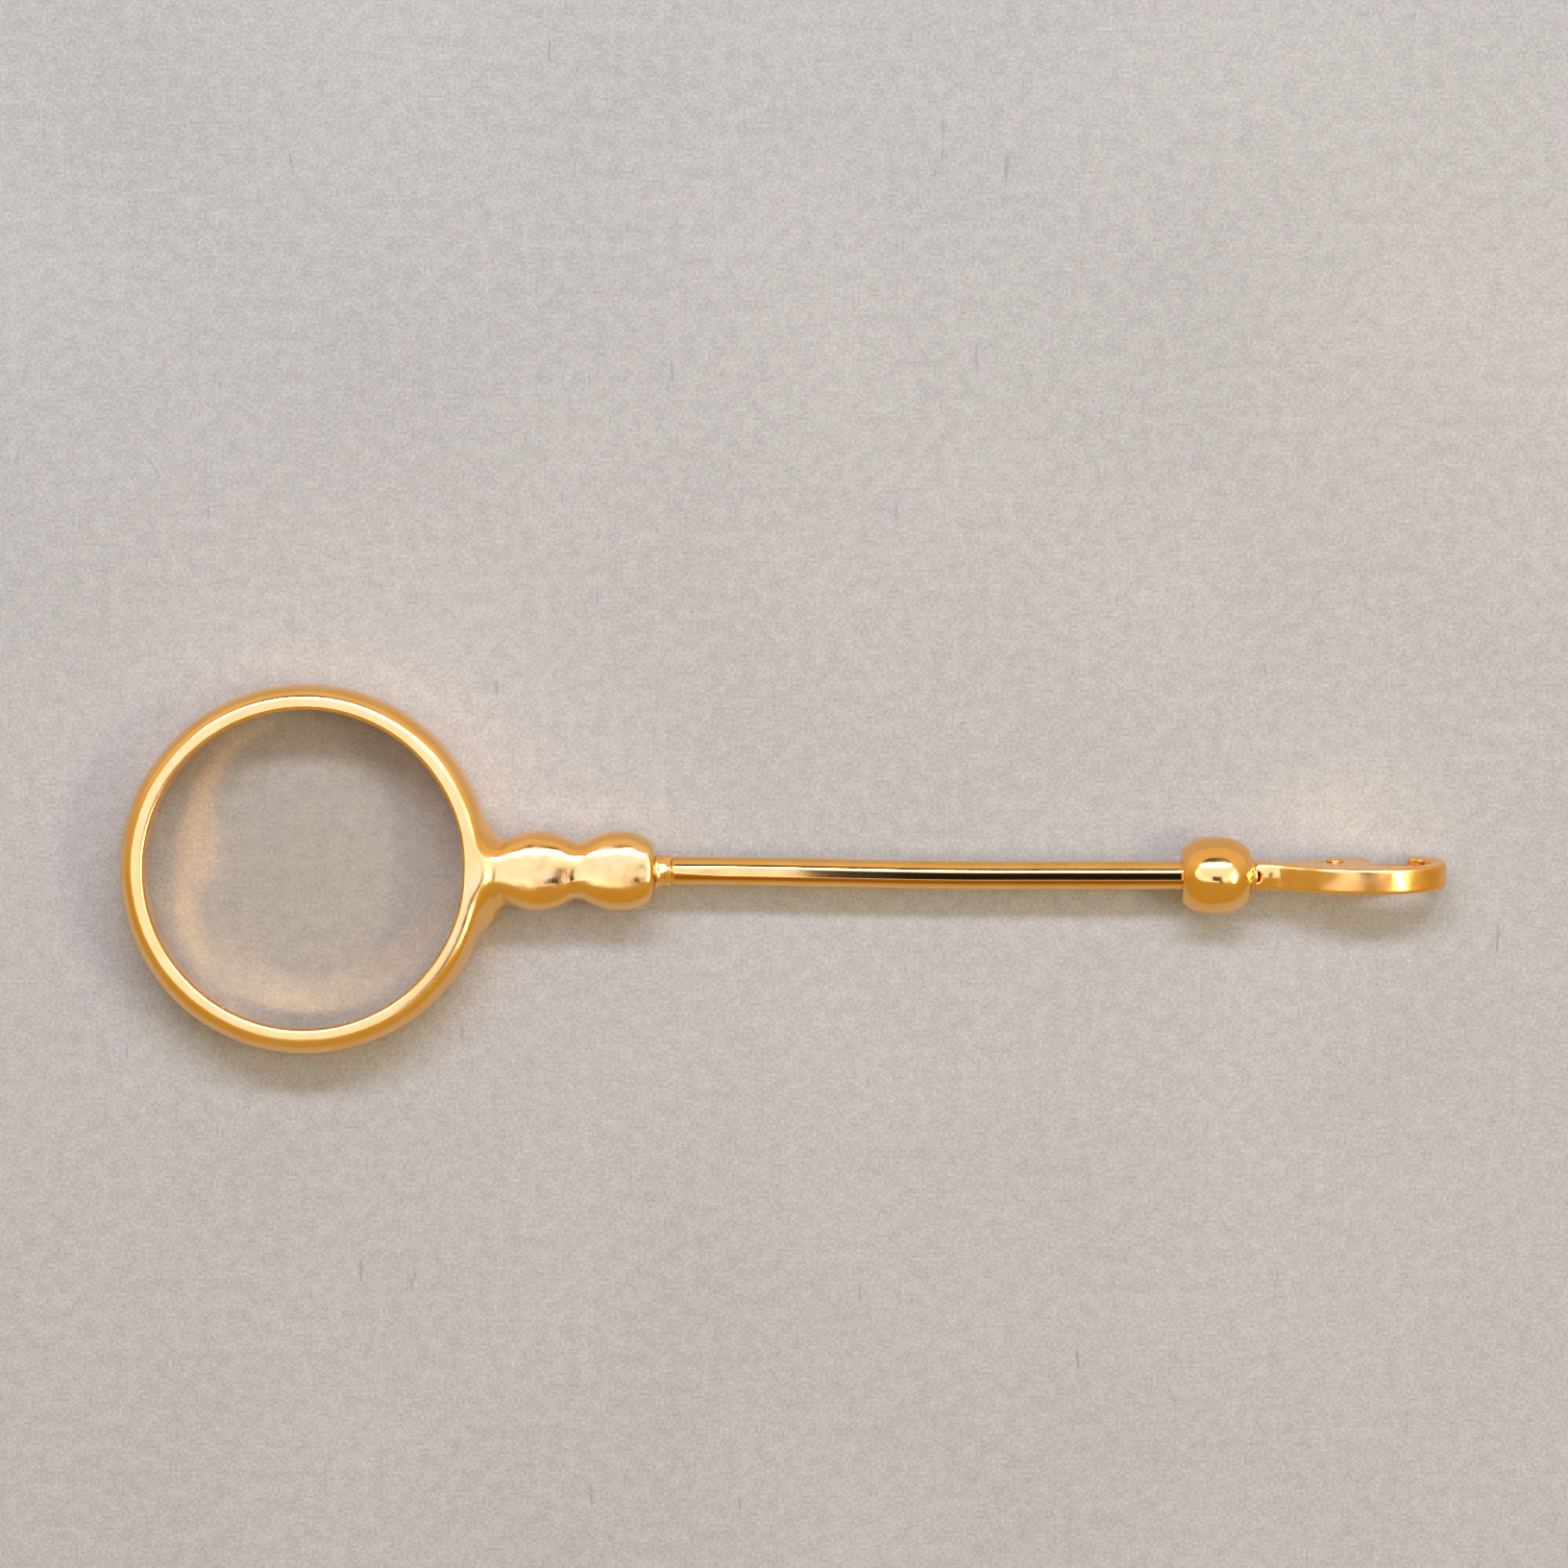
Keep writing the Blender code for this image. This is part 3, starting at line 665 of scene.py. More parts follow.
def snap_ring():
    """A split ring of rounded strip in the groove under the lens."""
    outer = (SNAP_HIGH[1] - SNAP_LOW[1]) / 2
    middle = outer - SNAP_WIDTH / 2
    half = (SNAP_HIGH[2] - SNAP_LOW[2]) / 2
    turn = np.radians(np.linspace(-SNAP_HALF_TURN, SNAP_HALF_TURN, 220))
    path = np.stack(
        [
            RING_CENTRE[0] + middle * np.cos(turn),
            RING_CENTRE[1] + middle * np.sin(turn),
            np.full(len(turn), SNAP_LOW[2] + half),
        ],
        axis=1,
    )

    def section(places, around):
        across = np.abs(np.sin(around) / (SNAP_WIDTH / 2)) ** SNAP_POWER
        up = np.abs(np.cos(around) / half) ** SNAP_POWER
        return np.broadcast_to((across + up) ** (-1 / SNAP_POWER), (len(places), len(around)))

    return swept("snap_ring", path, 1, (0, 0, 1), section, 32)


# Handle


def collar():
    """The soldered sleeve between the beads and the wire."""
    length = COLLAR_HIGH[0] - COLLAR_LOW[0]
    radius = (COLLAR_HIGH[1] - COLLAR_LOW[1]) / 2 * COLLAR_TRIM
    bore = TENON_R + FIT_GAP
    along = np.linspace(0, 1, 40)
    outer = radius * np.interp(along, *zip(*COLLAR_FLANK))
    profile = [(0, bore)] + list(zip(along * length, outer)) + [(length, bore)]
    centre = (COLLAR_LOW[0], STEM_AXIS[1], STEM_AXIS[2])
    made = turned("collar_sleeve", profile, "X", centre, FINE)
    return roughened(made, waves(*COLLAR_LUMPS), outside(COLLAR_LUMPS_FROM, 0.15, STEM_AXIS[1:]))


def rod_side(along):
    """How far the wire's middle lies to one side, as it bows from the stem to the swivel."""
    start = COLLAR_HIGH[0]
    share = (along - start) / (HEAD_LOW[0] - start)
    return STEM_AXIS[1] + (SWIVEL[1] - STEM_AXIS[1]) * ease(share / ROD_BOW_END)


def rod():
    """The drawn wire, with the worn flat along its top and a turned tenon at each end."""
    start = COLLAR_HIGH[0] + FIT_GAP
    end = HEAD_LOW[0] - FIT_GAP
    first_tenon = [ROD_LOW[0], ROD_LOW[0] + TENON_CHAMFER, start - SHOULDER]
    last_tenon = [end + SHOULDER, ROD_HIGH[0]]
    along = np.concatenate([first_tenon, np.linspace(start, end, 320), last_tenon])
    radii = np.full(len(along), ROD_R)
    radii[0] = TENON_R - TENON_CHAMFER
    radii[[1, 2, -2, -1]] = TENON_R
    radii[3:5] -= ROD_EASE
    path = np.stack([along, rod_side(along), np.full(len(along), STEM_AXIS[2])], axis=1)
    wander = waves(*WIRE_WANDER)

    def section(places, around):
        worn = FLAT_DEPTH * ease((places[:, 0] - FLAT_START) / FLAT_RUN_IN)
        flat = (1 - worn)[:, None] / np.maximum(np.cos(around - FLAT_TILT), 0.2)
        bright = blended_min(np.ones_like(flat), flat, FLAT_EDGE)
        return bright * (1 + wander(places))[:, None]

    return swept("handle_wire", path, radii, (0, 0, 1), section, FINE)


def swivel_head():
    bore = TENON_R + FIT_GAP
    radius = (HEAD_HIGH[2] - HEAD_LOW[2]) / 2
    length = HEAD_HIGH[0] - HEAD_LOW[0]
    profile = [(0, bore), (0, radius), (length, radius), (length, bore)]
    made = turned("riveted_head", profile, "X", (HEAD_LOW[0], SWIVEL[1], SWIVEL[2]), FINE)
    return eased_edges(made, HEAD_EASE)


# Swivel and snap hook


def on_swivel(obj):
    """Moves a piece made about the swivel's axis into place, lying rolled as the hook is."""
    points = coordinates(obj.data)
    cosine = math.cos(HOOK_ROLL)
    sine = math.sin(HOOK_ROLL)
    across = points[:, 1].copy()
    up = points[:, 2].copy()
    points[:, 1] = across * cosine - up * sine
    points[:, 2] = across * sine + up * cosine
    set_coordinates(obj.data, points + SWIVEL)
    return obj


def barrel():
    length = BARREL_HIGH[0] - BARREL_LOW[0]
    half = length / 2
    along = np.linspace(-half, half, 60)
    outer = BARREL_R * superellipse(along / BARREL_HALF, BARREL_POWER)
    profile = [(-half, ROD_HOLE_R)] + list(zip(along, outer)) + [(half, BARREL_BORE_R)]
    wall = BARREL_END_WALL - half
    profile += [(wall, BARREL_BORE_R), (wall, ROD_HOLE_R)]
    made = turned("barrel_bead", profile, "X", (-half, 0, 0))
    eased_edges(made, BARREL_EASE, BARREL_EASE_ANGLE)
    drift = waves(*BARREL_DRIFT)
    grains = waves(*BARREL_GRAINS)

    def height(points):
        along, across = ease((points[:, :2] - GRAINS_FROM) / GRAINS_RUN_IN).T
        return drift(points) + along * across * np.abs(grains(points))

    return on_swivel(roughened(made, height, outside(1.3, 0.2)))


def plug():
    length = PLUG_HIGH[0] - PLUG_LOW[0]
    outer = (PLUG_HIGH[2] - PLUG_LOW[2]) / 2
    bore = SHANK_R + FIT_GAP
    profile = [(-length, bore), (-length, outer), (0, outer), (0, bore)]
    made = turned("barrel_plug_disc", profile, "X", (PLUG_HIGH[0] - SWIVEL[0], 0, 0), FINE)
    return on_swivel(eased_edges(made, BARREL_EASE))


def solder():
    """The lumpy fillet of solder round the hook's stem where it leaves the barrel."""
    corners = np.arange(len(SOLDER_FLANK))
    places = np.linspace(0, corners[-1], 40)
    profile = np.stack([np.interp(places, corners, part) for part in zip(*SOLDER_FLANK)], axis=1)
    made = turned("solder_fillet", profile, "X", (0, 0, 0), FINE)
    return on_swivel(roughened(made, waves(*SOLDER_LUMPS), outside(SOLDER_R, 0.12)))


def outline_points(corners, sharp=()):
    """A closed line through (along, up) corners, smooth but for the sharp ones."""
    curve = bpy.data.curves.new("outline", "CURVE")
    curve.dimensions = "2D"
    curve.resolution_u = 9
    spline = curve.splines.new("BEZIER")
    spline.bezier_points.add(len(corners) - 1)
    spline.use_cyclic_u = True
    for place, point in enumerate(spline.bezier_points):
        kind = "VECTOR" if place in sharp else "AUTO"
        point.co = (*corners[place], 0)
        point.handle_left_type = kind
        point.handle_right_type = kind
    holder = bpy.data.objects.new("outline", curve)
    bpy.context.scene.collection.objects.link(holder)
    bpy.context.view_layer.update()
    graph = bpy.context.evaluated_depsgraph_get()
    line = coordinates(bpy.data.meshes.new_from_object(holder.evaluated_get(graph)))
    bpy.data.objects.remove(holder, do_unlink=True)
    return line[:, :2]


def plate_field(line, thickness, blend):
    """The field of a flat piece in the XZ plane, whose outline is the closed line."""
    low = line.min(0) - PLATE_MARGIN
    high = line.max(0) + PLATE_MARGIN
    counts = np.ceil((high - low) / PLATE_GRID).astype(int)
    along = low[0] + np.arange(counts[0]) * PLATE_GRID
    up = low[1] + np.arange(counts[1]) * PLATE_GRID
    places = np.stack(np.meshgrid(along, up, indexing="ij"), axis=-1).reshape(-1, 2)
    nearest = np.full(len(places), np.inf)
    inside = np.zeros(len(places), bool)
    for start, end in zip(line, np.roll(line, -1, axis=0)):
        side = end - start
        reach = places - start
        share = np.clip(reach @ side / (side @ side), 0, 1)
        nearest = np.minimum(nearest, ((reach - share[:, None] * side) ** 2).sum(1))
        crosses = (start[1] > places[:, 1]) != (end[1] > places[:, 1])
        if crosses.any():
            edge = start[0] + (places[:, 1] - start[1]) * side[0] / (side[1] or 1e-9)
            inside ^= crosses & (places[:, 0] < edge)
    table = (np.where(inside, -1, 1) * np.sqrt(nearest)).reshape(counts)

    def field(points):
        place = (points[:, [0, 2]] - low) / PLATE_GRID
        place = np.clip(place, 0, counts - 1.001)
        cell = place.astype(int)
        part = place - cell
        a, b = cell[:, 0], cell[:, 1]
        lower = table[a, b] * (1 - part[:, 0]) + table[a + 1, b] * part[:, 0]
        upper = table[a, b + 1] * (1 - part[:, 0]) + table[a + 1, b + 1] * part[:, 0]
        rim = lower * (1 - part[:, 1]) + upper * part[:, 1]
        return blended_max(rim, np.abs(points[:, 1]) - thickness / 2, blend)

    return field


def plate_seed(name, line, thickness):
    """The outline filled and given its thickness, as a rough solid."""
    shape = bmesh.new()
    corners = [shape.verts.new((along, -thickness / 2, up)) for along, up in line]
    face = shape.faces.new(corners)
    grown = bmesh.ops.extrude_face_region(shape, geom=[face])["geom"]
    moved = [part for part in grown if isinstance(part, bmesh.types.BMVert)]
    bmesh.ops.translate(shape, verts=moved, vec=Vector((0, thickness, 0)))
    bmesh.ops.recalc_face_normals(shape, faces=shape.faces)
    bmesh.ops.triangulate(shape, faces=shape.faces)
    mesh = bpy.data.meshes.new(name)
    shape.to_mesh(mesh)
    shape.free()
    made = bpy.data.objects.new(name, mesh)
    bpy.context.scene.collection.objects.link(made)
    return made


def block(name, low, high):
    """A plain cutter between two corners."""
    shape = bmesh.new()
    bmesh.ops.create_cube(shape, size=1)
    mesh = bpy.data.meshes.new(name)
    shape.to_mesh(mesh)
    shape.free()
    low = np.array(low, float)
    high = np.array(high, float)
    set_coordinates(mesh, (low + high) / 2 + coordinates(mesh) * (high - low))
    made = bpy.data.objects.new(name, mesh)
    bpy.context.scene.collection.objects.link(made)
    return made


def rod_along_y(name, radius, half, centre):
    profile = [(-half, 0), (-half, radius), (half, radius), (half, 0)]
    return turned(name, profile, "Y", centre, SMALL, closed=False)


def hook_outline():
    """The outline from the stem over the back to the nose, and back through the throat."""
    back = [(0.45, 0.56), (1.30, 0.64), (2.70, 1.22), (4.10, 1.90), (5.40, 2.23), (6.80, 2.34)]
    back += [(8.10, 2.20), (9.40, 1.76), (10.42, 1.12), (10.98, 0.50)]
    nose = [(HOOK_LENGTH - 0.02, -0.26), (11.08, -1.10), (10.56, -1.88), (9.80, -2.16)]
    nose += [(9.30, -2.10), (9.18, -1.78), (9.54, -1.48), (10.12, -1.08), (10.34, -0.30)]
    throat = [(9.90, 0.44), (9.20, 1.00), (8.30, 1.30), (7.36, 1.08), (6.98, 0.20)]
    base = [(6.92, -1.20), (6.20, -1.78), (4.90, -1.76), (3.60, -1.10), (2.00, -0.62)]
    base += [(0.45, -0.56)]
    corners = back + nose + throat + base
    return outline_points(corners, sharp=(0, len(corners) - 1))


def hook():
    """The snap hook: a round stem that runs into a flat teardrop with an open throat."""
    line = hook_outline()
    plate = plate_field(line, HOOK_THICKNESS, HOOK_EASE)
    flank = [(FIT_GAP, FOOT_R), (0.2, STEM_R), (0.6, 0.70), (STEM_TIP, STEM_TIP_R), (3, -1.2)]
    stem_along, stem_out = zip(*flank)

    def field(points):
        radius = np.interp(points[:, 0], stem_along, stem_out)
        out = np.hypot(points[:, 1], points[:, 2])
        stem = blended_max(out - radius, FIT_GAP - points[:, 0], STEM_EASE)
        body = blended_min(plate(points), stem, HOOK_BLEND)
        hollow = ellipsoid_field(points - HOLLOW_CENTRE, np.array(HOLLOW_HALF))
        return blended_max(body, -hollow, HOLLOW_EASE)

    stem = [(FIT_GAP, 0), (FIT_GAP, FOOT_R), (0.2, STEM_R), (STEM_TIP, STEM_TIP_R), (2.2, 0)]
    seeds = [
        plate_seed("hook_plate_seed", line, HOOK_THICKNESS),
        turned("hook_stem_seed", stem, "X", (0, 0, 0), 48, closed=False),
    ]
    made = roughened(skin("hook_body", seeds, field, HOOK_VOXEL), waves(*HOOK_DRIFT))

    half = SLOT_WIDTH / 2
    slot = block("lever_slot", (SLOT[0], -half, SLOT_BOTTOM), (SLOT[1], half, SLOT_TOP))
    hole = rod_along_y("rivet_hole", RIVET_R + FIT_GAP, HOOK_THICKNESS, pivot_place())
    cut(made, slot, hole)
    shank = [(-SHANK_LENGTH, 0), (-SHANK_LENGTH, SHANK_R), (0.3, SHANK_R), (0.3, 0)]
    cut(made, turned("shank", shank, "X", (0, 0, 0), 48, closed=False), operation="UNION")
    return on_swivel(made)


def pivot_place():
    """The lever's pivot, seen from the swivel before the hook is rolled."""
    offset = PIVOT - SWIVEL
    return np.array([offset[0], 0, math.copysign(math.hypot(*offset[1:]), offset[2])])


def lever():
    """The sprung gate, with a round eye that is thin where the spring's coil lies."""
    bar = [(5.50, -0.02), (6.90, -0.38), (8.30, -0.80), (9.20, -1.06), (9.42, -1.20)]
    bar += [(9.30, -1.38), (9.04, -1.46), (8.94, -1.70), (8.10, -1.80), (7.00, -1.80)]
    thumb_tab = [(6.66, -2.12), (6.26, -2.16), (5.92, -1.80), (5.50, -1.30)]
    line = outline_points(bar + thumb_tab)
    plate = plate_field(line, LEVER_THICKNESS, LEVER_EASE)
    pivot = pivot_place()

    def field(points):
        out = np.hypot(points[:, 0] - pivot[0], points[:, 2] - pivot[2]) - EYE_R
        face = np.abs(points[:, 1]) - LEVER_THICKNESS / 2
        eye = blended_max(out, face, LEVER_EASE)
        return np.maximum(blended_min(plate(points), eye, LEVER_BLEND), face)

    seed = plate_seed("lever_seed", line, LEVER_THICKNESS)
    eye = rod_along_y("eye_seed", EYE_R, LEVER_THICKNESS / 2, pivot)
    made = skin("gate_lever", [seed, eye], field, LEVER_VOXEL)
    pocket_centre = pivot + (0, -EYE_THICKNESS, 0)
    pocket = rod_along_y("spring_pocket", POCKET_R, LEVER_THICKNESS / 2, pocket_centre)
    hole = rod_along_y("eye_hole", RIVET_R + RUNNING_GAP, LEVER_THICKNESS, pivot)
    return on_swivel(cut(made, pocket, hole))


def rivet():
    cheek = HOOK_THICKNESS / 2 + FIT_GAP
    turn = np.linspace(0, math.pi / 2, 14)
    dome = [
        (cheek + RIVET_HEAD_RISE * math.cos(part), RIVET_HEAD_R * math.sin(part))
        for part in turn
    ]
    upper = dome + [(cheek, RIVET_HEAD_R), (cheek, RIVET_R)]
    lower = [(-along, radius) for along, radius in reversed(upper)]
    return on_swivel(turned("pivot_rivet", upper + lower, "Y", pivot_place(), SMALL, False))


def spring():
    """A short torsion spring round the rivet, in the lever's pocket."""
    share = np.arange(SPRING_STEPS * SPRING_TURNS + 1) / SPRING_STEPS
    turn = math.pi / 2 + math.tau * share
    floor = LEVER_THICKNESS / 2 - EYE_THICKNESS
    first = (floor - SLOT_WIDTH / 2 - SPRING_PITCH * SPRING_TURNS) / 2
    across = first + SPRING_PITCH * share
    coil = np.stack([SPRING_R * np.cos(turn), across, SPRING_R * np.sin(turn)], axis=1)
    leg = np.array([SPRING_LEG, 0, 0])
    lead_in = coil[0] + leg * np.linspace(1, 0.1, 8)[:, None]
    lead_out = coil[-1] + leg * np.linspace(0.1, 1, 8)[:, None]
    path = np.vstack([lead_in, coil, lead_out]) + pivot_place()
    return on_swivel(swept("gate_spring", path, SPRING_WIRE_R, (0, 1, 0), None, 20))


# Materials


def node(tree, kind, inputs=(), **settings):
    """A new node with its settings; an input is a value or another node's output."""
    made = tree.nodes.new(kind)
    for key, value in settings.items():
        setattr(made, key, value)
    for key, value in dict(inputs).items():
        if isinstance(value, bpy.types.NodeSocket):
            tree.links.new(value, made.inputs[key])
        else:
            made.inputs[key].default_value = value
    return made


def new_material(name):
    made = bpy.data.materials.new(name)
    made.use_nodes = True
    return made, made.node_tree, made.node_tree.nodes["Principled BSDF"]


def noise(tree, place, per_mm, detail=2.0, stretch=None):
    """A noise value whose features are about 1 / per_mm across."""
    if stretch:
        mapping = node(tree, "ShaderNodeMapping", {"Vector": place, "Scale": stretch})
        place = mapping.outputs["Vector"]
    inputs = {"Vector": place, "Scale": per_mm / MM, "Detail": detail, "Roughness": 0.55}
    return node(tree, "ShaderNodeTexNoise", inputs).outputs["Fac"]


def ramp(tree, value, low, high, out_low, out_high):
    """The value carried over from one range to another, and held at its ends."""
    inputs = {"Value": value, "From Min": low, "From Max": high}
    inputs.update({"To Min": out_low, "To Max": out_high})
    return node(tree, "ShaderNodeMapRange", inputs).outputs["Result"]


def mixed(tree, share, first, second):
    """Two colours mixed by a share, where each is a value or another node's output."""
    made = node(tree, "ShaderNodeMix", data_type="RGBA")
    ends = [socket for socket in made.inputs if socket.type == "RGBA"]
    tree.links.new(share, made.inputs[0])
    for socket, colour in zip(ends, (first, second)):
        if isinstance(colour, bpy.types.NodeSocket):
            tree.links.new(colour, socket)
        else:
            socket.default_value = colour
    return next(socket for socket in made.outputs if socket.type == "RGBA")


def bumped(tree, shader, height, distance, strength, before=None):
    inputs = {"Height": height, "Distance": distance * MM, "Strength": strength}
    if before is not None:
        inputs["Normal"] = before
    made = node(tree, "ShaderNodeBump", inputs)
    tree.links.new(made.outputs["Normal"], shader.inputs["Normal"])
    return made.outputs["Normal"]


def calculated(tree, operation, first, second):
    made = node(tree, "ShaderNodeMath", {0: first, 1: second}, operation=operation)
    return made.outputs["Value"]


def round_the_ring(tree, place):
    """Places unrolled round the lens frame, and a share that is one on its stem."""
    centre = tuple(RING_CENTRE * MM)
    offset = node(tree, "ShaderNodeVectorMath", {0: place, 1: centre}, operation="SUBTRACT")
    parts = node(tree, "ShaderNodeSeparateXYZ", {"Vector": offset.outputs["Vector"]}).outputs
    back = calculated(tree, "MULTIPLY", parts["X"], -1.0)
    turn = calculated(tree, "ARCTAN2", parts["Y"], back)
    run = calculated(tree, "MULTIPLY", turn, RING_R * MM)
    squares = [calculated(tree, "MULTIPLY", parts[side], parts[side]) for side in ("X", "Y")]
    out = calculated(tree, "SQRT", calculated(tree, "ADD", *squares), 0.0)
    unrolled = node(tree, "ShaderNodeCombineXYZ", {"X": run, "Y": out, "Z": parts["Z"]})
    on_stem = ramp(tree, parts["X"], (BORE_R - 0.8) * MM, BORE_R * MM, 0.0, 1.0)
    return unrolled.outputs["Vector"], on_stem


def polished_bore(tree, place):
    """A share that is small inside the lens frame's bore and one elsewhere."""
    unrolled, _ = round_the_ring(tree, place)
    out = node(tree, "ShaderNodeSeparateXYZ", {"Vector": unrolled}).outputs["Y"]
    return ramp(tree, out, (BORE_R + 0.03) * MM, (BORE_R + 0.15) * MM, 0.3, 1.0)


def brushed(tree, place, per_mm, detail, stretch, ring):
    """Noise drawn out along a piece, or round the lens frame's band."""
    plain = noise(tree, place, per_mm, detail, stretch)
    if not ring:
        return plain
    unrolled, on_stem = round_the_ring(tree, place)
    round_it = noise(tree, unrolled, per_mm, detail, RING_STRETCH)
    made = node(tree, "ShaderNodeMix", {0: on_stem, 2: round_it, 3: plain})
    return made.outputs[0]


def metal(name, colours, roughness, spread, hairline, dimple, stretch=None, ring=False):
    """Polished plate: clouded colour and gloss, crevices painted dark brown as tarnish and
    painted shade, hairlines and shallow dimples.
    """
    made, tree, shader = new_material(name)
    place = node(tree, "ShaderNodeTexCoord").outputs["Object"]
    cloud = noise(tree, place, 0.45)
    share = ramp(tree, cloud, 0.35, 0.65, 0.0, 1.0)
    plated = mixed(tree, share, *((*colour, 1) for colour in colours))
    # Tarnish and painted shade: concave places, found by pointiness, are darkened brown in
    # patches
    hollow = node(tree, "ShaderNodeNewGeometry").outputs["Pointiness"]
    patchy = ramp(tree, noise(tree, place, 2.2, 3.0), 0.35, 0.65, 0.40, 1.0)
    tarnish_and_shade_share = calculated(tree, "MULTIPLY", ramp(tree, hollow, *CREVICE_DARKENING, 1.0, 0.0), patchy)
    tree.links.new(mixed(tree, tarnish_and_shade_share, plated, TARNISH_AND_SHADE), shader.inputs["Base Color"])
    smear = brushed(tree, place, 1.1, 4.0, stretch, ring)
    gloss = ramp(tree, smear, 0.3, 0.7, roughness - spread, roughness + spread)
    if ring:
        gloss = calculated(tree, "MULTIPLY", gloss, polished_bore(tree, place))
    tree.links.new(gloss, shader.inputs["Roughness"])
    shader.inputs["Metallic"].default_value = 1.0
    scratches = brushed(tree, place, 9.0, 3.0, stretch, ring)
    first = bumped(tree, shader, scratches, 0.004, hairline)
    dimples = noise(tree, place, 1.5, 1.0)
    bumped(tree, shader, dimples, 0.02, dimple, first)
    return made


def wire_metal():
    """Drawn gold with fine lengthwise lines and a painted reflection: a brown band along the
    wire's upper flank on the -Y side, set by which way the surface faces.
    """
    made = metal("drawn_gold", WIRE_GOLD, 0.060, 0.02, 0.09, 0.02, WIRE_STRETCH)
    tree = made.node_tree
    shader = tree.nodes["Principled BSDF"]
    facing = node(tree, "ShaderNodeTexCoord").outputs["Normal"]
    # Painted reflection: a brown band where the surface faces the tilted direction
    flank = (0, -math.sin(REFLECTION_TILT), math.cos(REFLECTION_TILT))
    near = node(tree, "ShaderNodeVectorMath", {0: facing, 1: flank}, operation="DOT_PRODUCT")
    share = ramp(tree, near.outputs["Value"], *REFLECTION_BAND, 0.0, REFLECTION_SHARE)
    plated = shader.inputs["Base Color"].links[0].from_socket
    tree.links.new(mixed(tree, share, plated, PAINTED_REFLECTION_BROWN), shader.inputs["Base Color"])
    return made


def glass():
    """Clear coated lens glass that lets lamps through, with faint specks in its gloss."""
    made, tree, shader = new_material("lens_glass")
    place = node(tree, "ShaderNodeTexCoord").outputs["Object"]
    specks = noise(tree, place, 3.0, 3.0)
    gloss = ramp(tree, specks, 0.66, 0.74, 0.0, 0.06)
    tree.links.new(gloss, shader.inputs["Roughness"])
    tint = ramp(tree, noise(tree, place, 0.2), 0.3, 0.7, 0.0, 1.0)
    tree.links.new(mixed(tree, tint, *GLASS_TINTS), shader.inputs["Base Color"])
    shader.inputs["Transmission Weight"].default_value = 1.0
    shader.inputs["IOR"].default_value = GLASS_IOR
    shader.inputs["Specular Tint"].default_value = GLASS_COATING
    rays = node(tree, "ShaderNodeLightPath").outputs
    lamps = calculated(tree, "MAXIMUM", rays["Is Shadow Ray"], rays["Is Diffuse Ray"])
    clear = node(tree, "ShaderNodeBsdfTransparent", {"Color": GLASS_SHADOW})
    split = node(tree, "ShaderNodeMixShader", {"Fac": lamps})
    tree.links.new(shader.outputs["BSDF"], split.inputs[1])
    tree.links.new(clear.outputs["BSDF"], split.inputs[2])
    output = tree.nodes["Material Output"]
    tree.links.new(split.outputs["Shader"], output.inputs["Surface"])
    return made


def paper():
    """Soft grey paper with a fine tooth, faint flecks and clouding, and a few dark fibres."""
    made, tree, shader = new_material("grey_paper")
    place = node(tree, "ShaderNodeTexCoord").outputs["Object"]
    tooth = noise(tree, place, 6.0, 4.0)
    fleck = noise(tree, place, 1.2, 3.0)
    cloud = noise(tree, place, 0.05, 2.0)
    grain = ramp(tree, tooth, 0.2, 0.8, 0.0, 0.72)
    grain = calculated(tree, "ADD", grain, ramp(tree, fleck, 0.3, 0.7, 0.0, 0.20))
    grain = calculated(tree, "ADD", grain, ramp(tree, cloud, 0.3, 0.7, 0.0, 0.10))
    sheet = mixed(tree, grain, PAPER_DARK, PAPER_LIGHT)
    strands = noise(tree, place, 1.3, 2.0, FIBRE_STRETCH)
    fibre = ramp(tree, strands, 0.735, 0.755, 0.0, 0.5)
    tree.links.new(mixed(tree, fibre, sheet, PAPER_FIBRE), shader.inputs["Base Color"])
    shader.inputs["Roughness"].default_value = 0.9
    shader.inputs["Specular IOR Level"].default_value = 0.15
    bumped(tree, shader, tooth, 0.06, 0.55)
    return made


def finished(obj, material, slot, body, *nodes):
    """Puts a finished mesh, still in millimetres, into the frame's metres on its body."""
    obj.data.materials.clear()
    obj.data.materials.append(material)
    set_coordinates(obj.data, coordinates(obj.data) * MM)
    obj.data.shade_smooth()
    obj.data.set_sharp_from_angle(angle=SHARP_ANGLE)
    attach(obj, body)
    if nodes:
        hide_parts(*nodes)


def build_loupe():
    plate = metal("satin_gold", PALE_GOLD, 0.24, 0.06, 0.25, 0.12)
    polish = metal("polished_gold", GOLD, 0.14, 0.04, 0.20, 0.06)
    cast = metal("cast_gold", PALE_GOLD, 0.19, 0.08, 0.85, 0.16, ring=True)
    clasp = metal("clasp_gold", GOLD, 0.22, 0.05, 0.30, 0.10)
    steel = metal("spring_steel", STEEL, 0.28, 0.08, 0.3, 0.1)
    finished(lens_frame(), cast, "satin_gold", "handle", "lens_frame")
    finished(lens(), glass(), "lens_glass", "handle", "lens")
    finished(snap_ring(), polish, "polished_gold", "handle", "lens_retaining_ring")
    finished(collar(), plate, "satin_gold", "handle", "neck_collar")
    finished(rod(), wire_metal(), "polished_gold", "handle", "handle_rod")
    finished(swivel_head(), polish, "polished_gold", "handle", "swivel_head")
    finished(barrel(), polish, "polished_gold", "swivel", "swivel_barrel")
    finished(plug(), polish, "polished_gold", "swivel", "barrel_plug")
    finished(solder(), plate, "satin_gold", "swivel")
    finished(hook(), clasp, "polished_gold", "swivel", "clasp_body")
    finished(rivet(), polish, "polished_gold", "swivel", "lever_rivet")
    finished(spring(), steel, "spring_steel", "swivel", "lever_spring")
    finished(lever(), clasp, "polished_gold", "lever", "clasp_lever")


# Stage


def look_at(obj, target):
    aim = Vector(target) - obj.location
    obj.rotation_euler = aim.to_track_quat("-Z", "Y").to_euler()


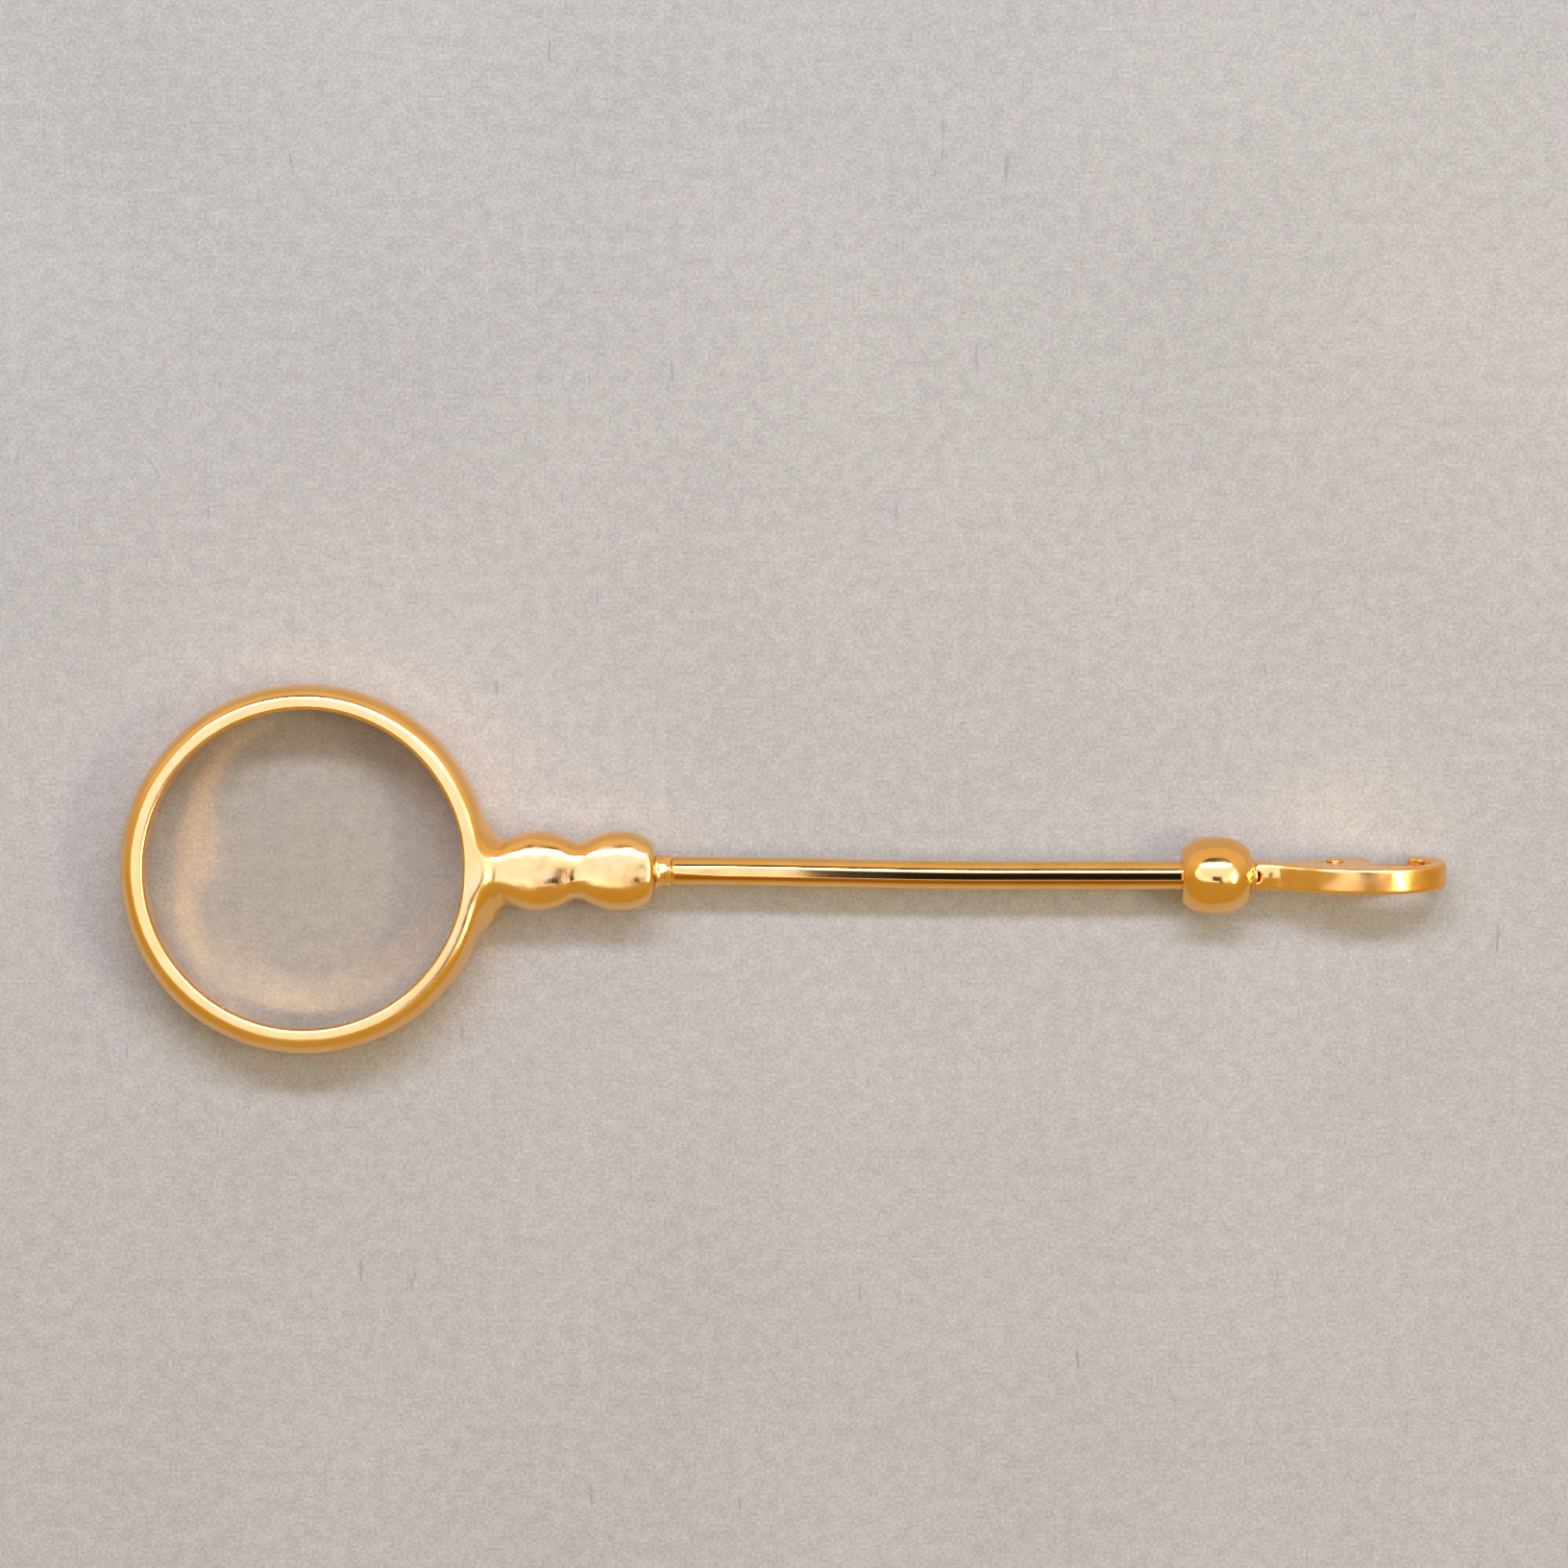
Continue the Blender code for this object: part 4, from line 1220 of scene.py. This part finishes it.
def area_light(name, place, target, width, height, radiance, colour):
    """A soft oval light of an even brightness, in watts per square metre and steradian."""
    data = bpy.data.lights.new(name, "AREA")
    data.shape = "ELLIPSE"
    data.size = width
    data.size_y = height
    data.energy = radiance * width * height * math.pi**2 / 4
    data.color = colour
    made = bpy.data.objects.new(name, data)
    bpy.context.scene.collection.objects.link(made)
    made.location = place
    look_at(made, target)
    made.visible_camera = False


def flat_sheet(name, width, depth, material):
    """A level rectangle about its own middle."""
    across = width / 2
    along = depth / 2
    corners = [(-across, -along, 0), (across, -along, 0), (across, along, 0), (-across, along, 0)]
    made = mesh_object(name, corners, [(0, 1, 2, 3)])
    made.data.materials.append(material)
    return made


def card(name, place, size, grey):
    """A dull level card that the gold reflects and the camera doesn't see."""
    material, _, shader = new_material(name)
    shader.inputs["Base Color"].default_value = (grey, grey, grey, 1)
    shader.inputs["Roughness"].default_value = 1.0
    made = flat_sheet(name, *size, material)
    made.location = place
    made.visible_camera = False
    made.visible_shadow = False
    made.visible_diffuse = False


def build_sky():
    """A warm room, lighter behind the loupe, with a dark patch round the overhead light."""
    world = bpy.data.worlds.new("studio")
    world.use_nodes = True
    tree = world.node_tree
    towards = node(tree, "ShaderNodeTexCoord").outputs["Generated"]
    shade = (0, math.sin(SKY_SHADE_TILT), math.cos(SKY_SHADE_TILT))
    near = node(tree, "ShaderNodeVectorMath", {0: towards, 1: shade}, operation="DOT_PRODUCT")
    share = ramp(tree, near.outputs["Value"], *SKY_EDGE, 0.0, 1.0)
    ahead = node(tree, "ShaderNodeSeparateXYZ", {"Vector": towards}).outputs["Y"]
    open_sky = mixed(tree, ramp(tree, ahead, *SKY_TURN, 0.0, 1.0), SKY_NEAR, SKY_FAR)
    sky = mixed(tree, share, open_sky, SKY_SHADE)
    tree.links.new(sky, tree.nodes["Background"].inputs["Color"])
    bpy.context.scene.world = world


def build_stage():
    flat_sheet("paper_floor", FLOOR_SIZE, FLOOR_SIZE, paper())
    build_sky()
    bpy.context.scene.cycles.blur_glossy = 0.0
    area_light("overhead", DOME_PLACE, (0, 0, 0), *DOME_SIZE, DOME_RADIANCE, DOME_COLOUR)
    area_light("strip", STRIP_PLACE, (0, 0, 0), *STRIP_SIZE, STRIP_RADIANCE, DOME_COLOUR)
    area_light("key", KEY_PLACE, (0, 0, 0), *KEY_SIZE, KEY_RADIANCE, KEY_COLOUR)
    card("camera_shade", SHADE_PLACE, SHADE_SIZE, SHADE_GREY)
    card("stand_shade", STAND_PLACE, STAND_SIZE, STAND_GREY)


def build_camera():
    data = bpy.data.cameras.new("overhead_camera")
    data.lens = CAMERA_LENS
    data.sensor_width = 36
    data.clip_start = 0.001
    data.clip_end = 20
    made = bpy.data.objects.new("overhead_camera", data)
    bpy.context.scene.collection.objects.link(made)
    made.location = CAMERA_PLACE
    bpy.context.scene.camera = made
    bpy.context.scene.view_settings.view_transform = "Standard"


build_loupe()
build_stage()
build_camera()
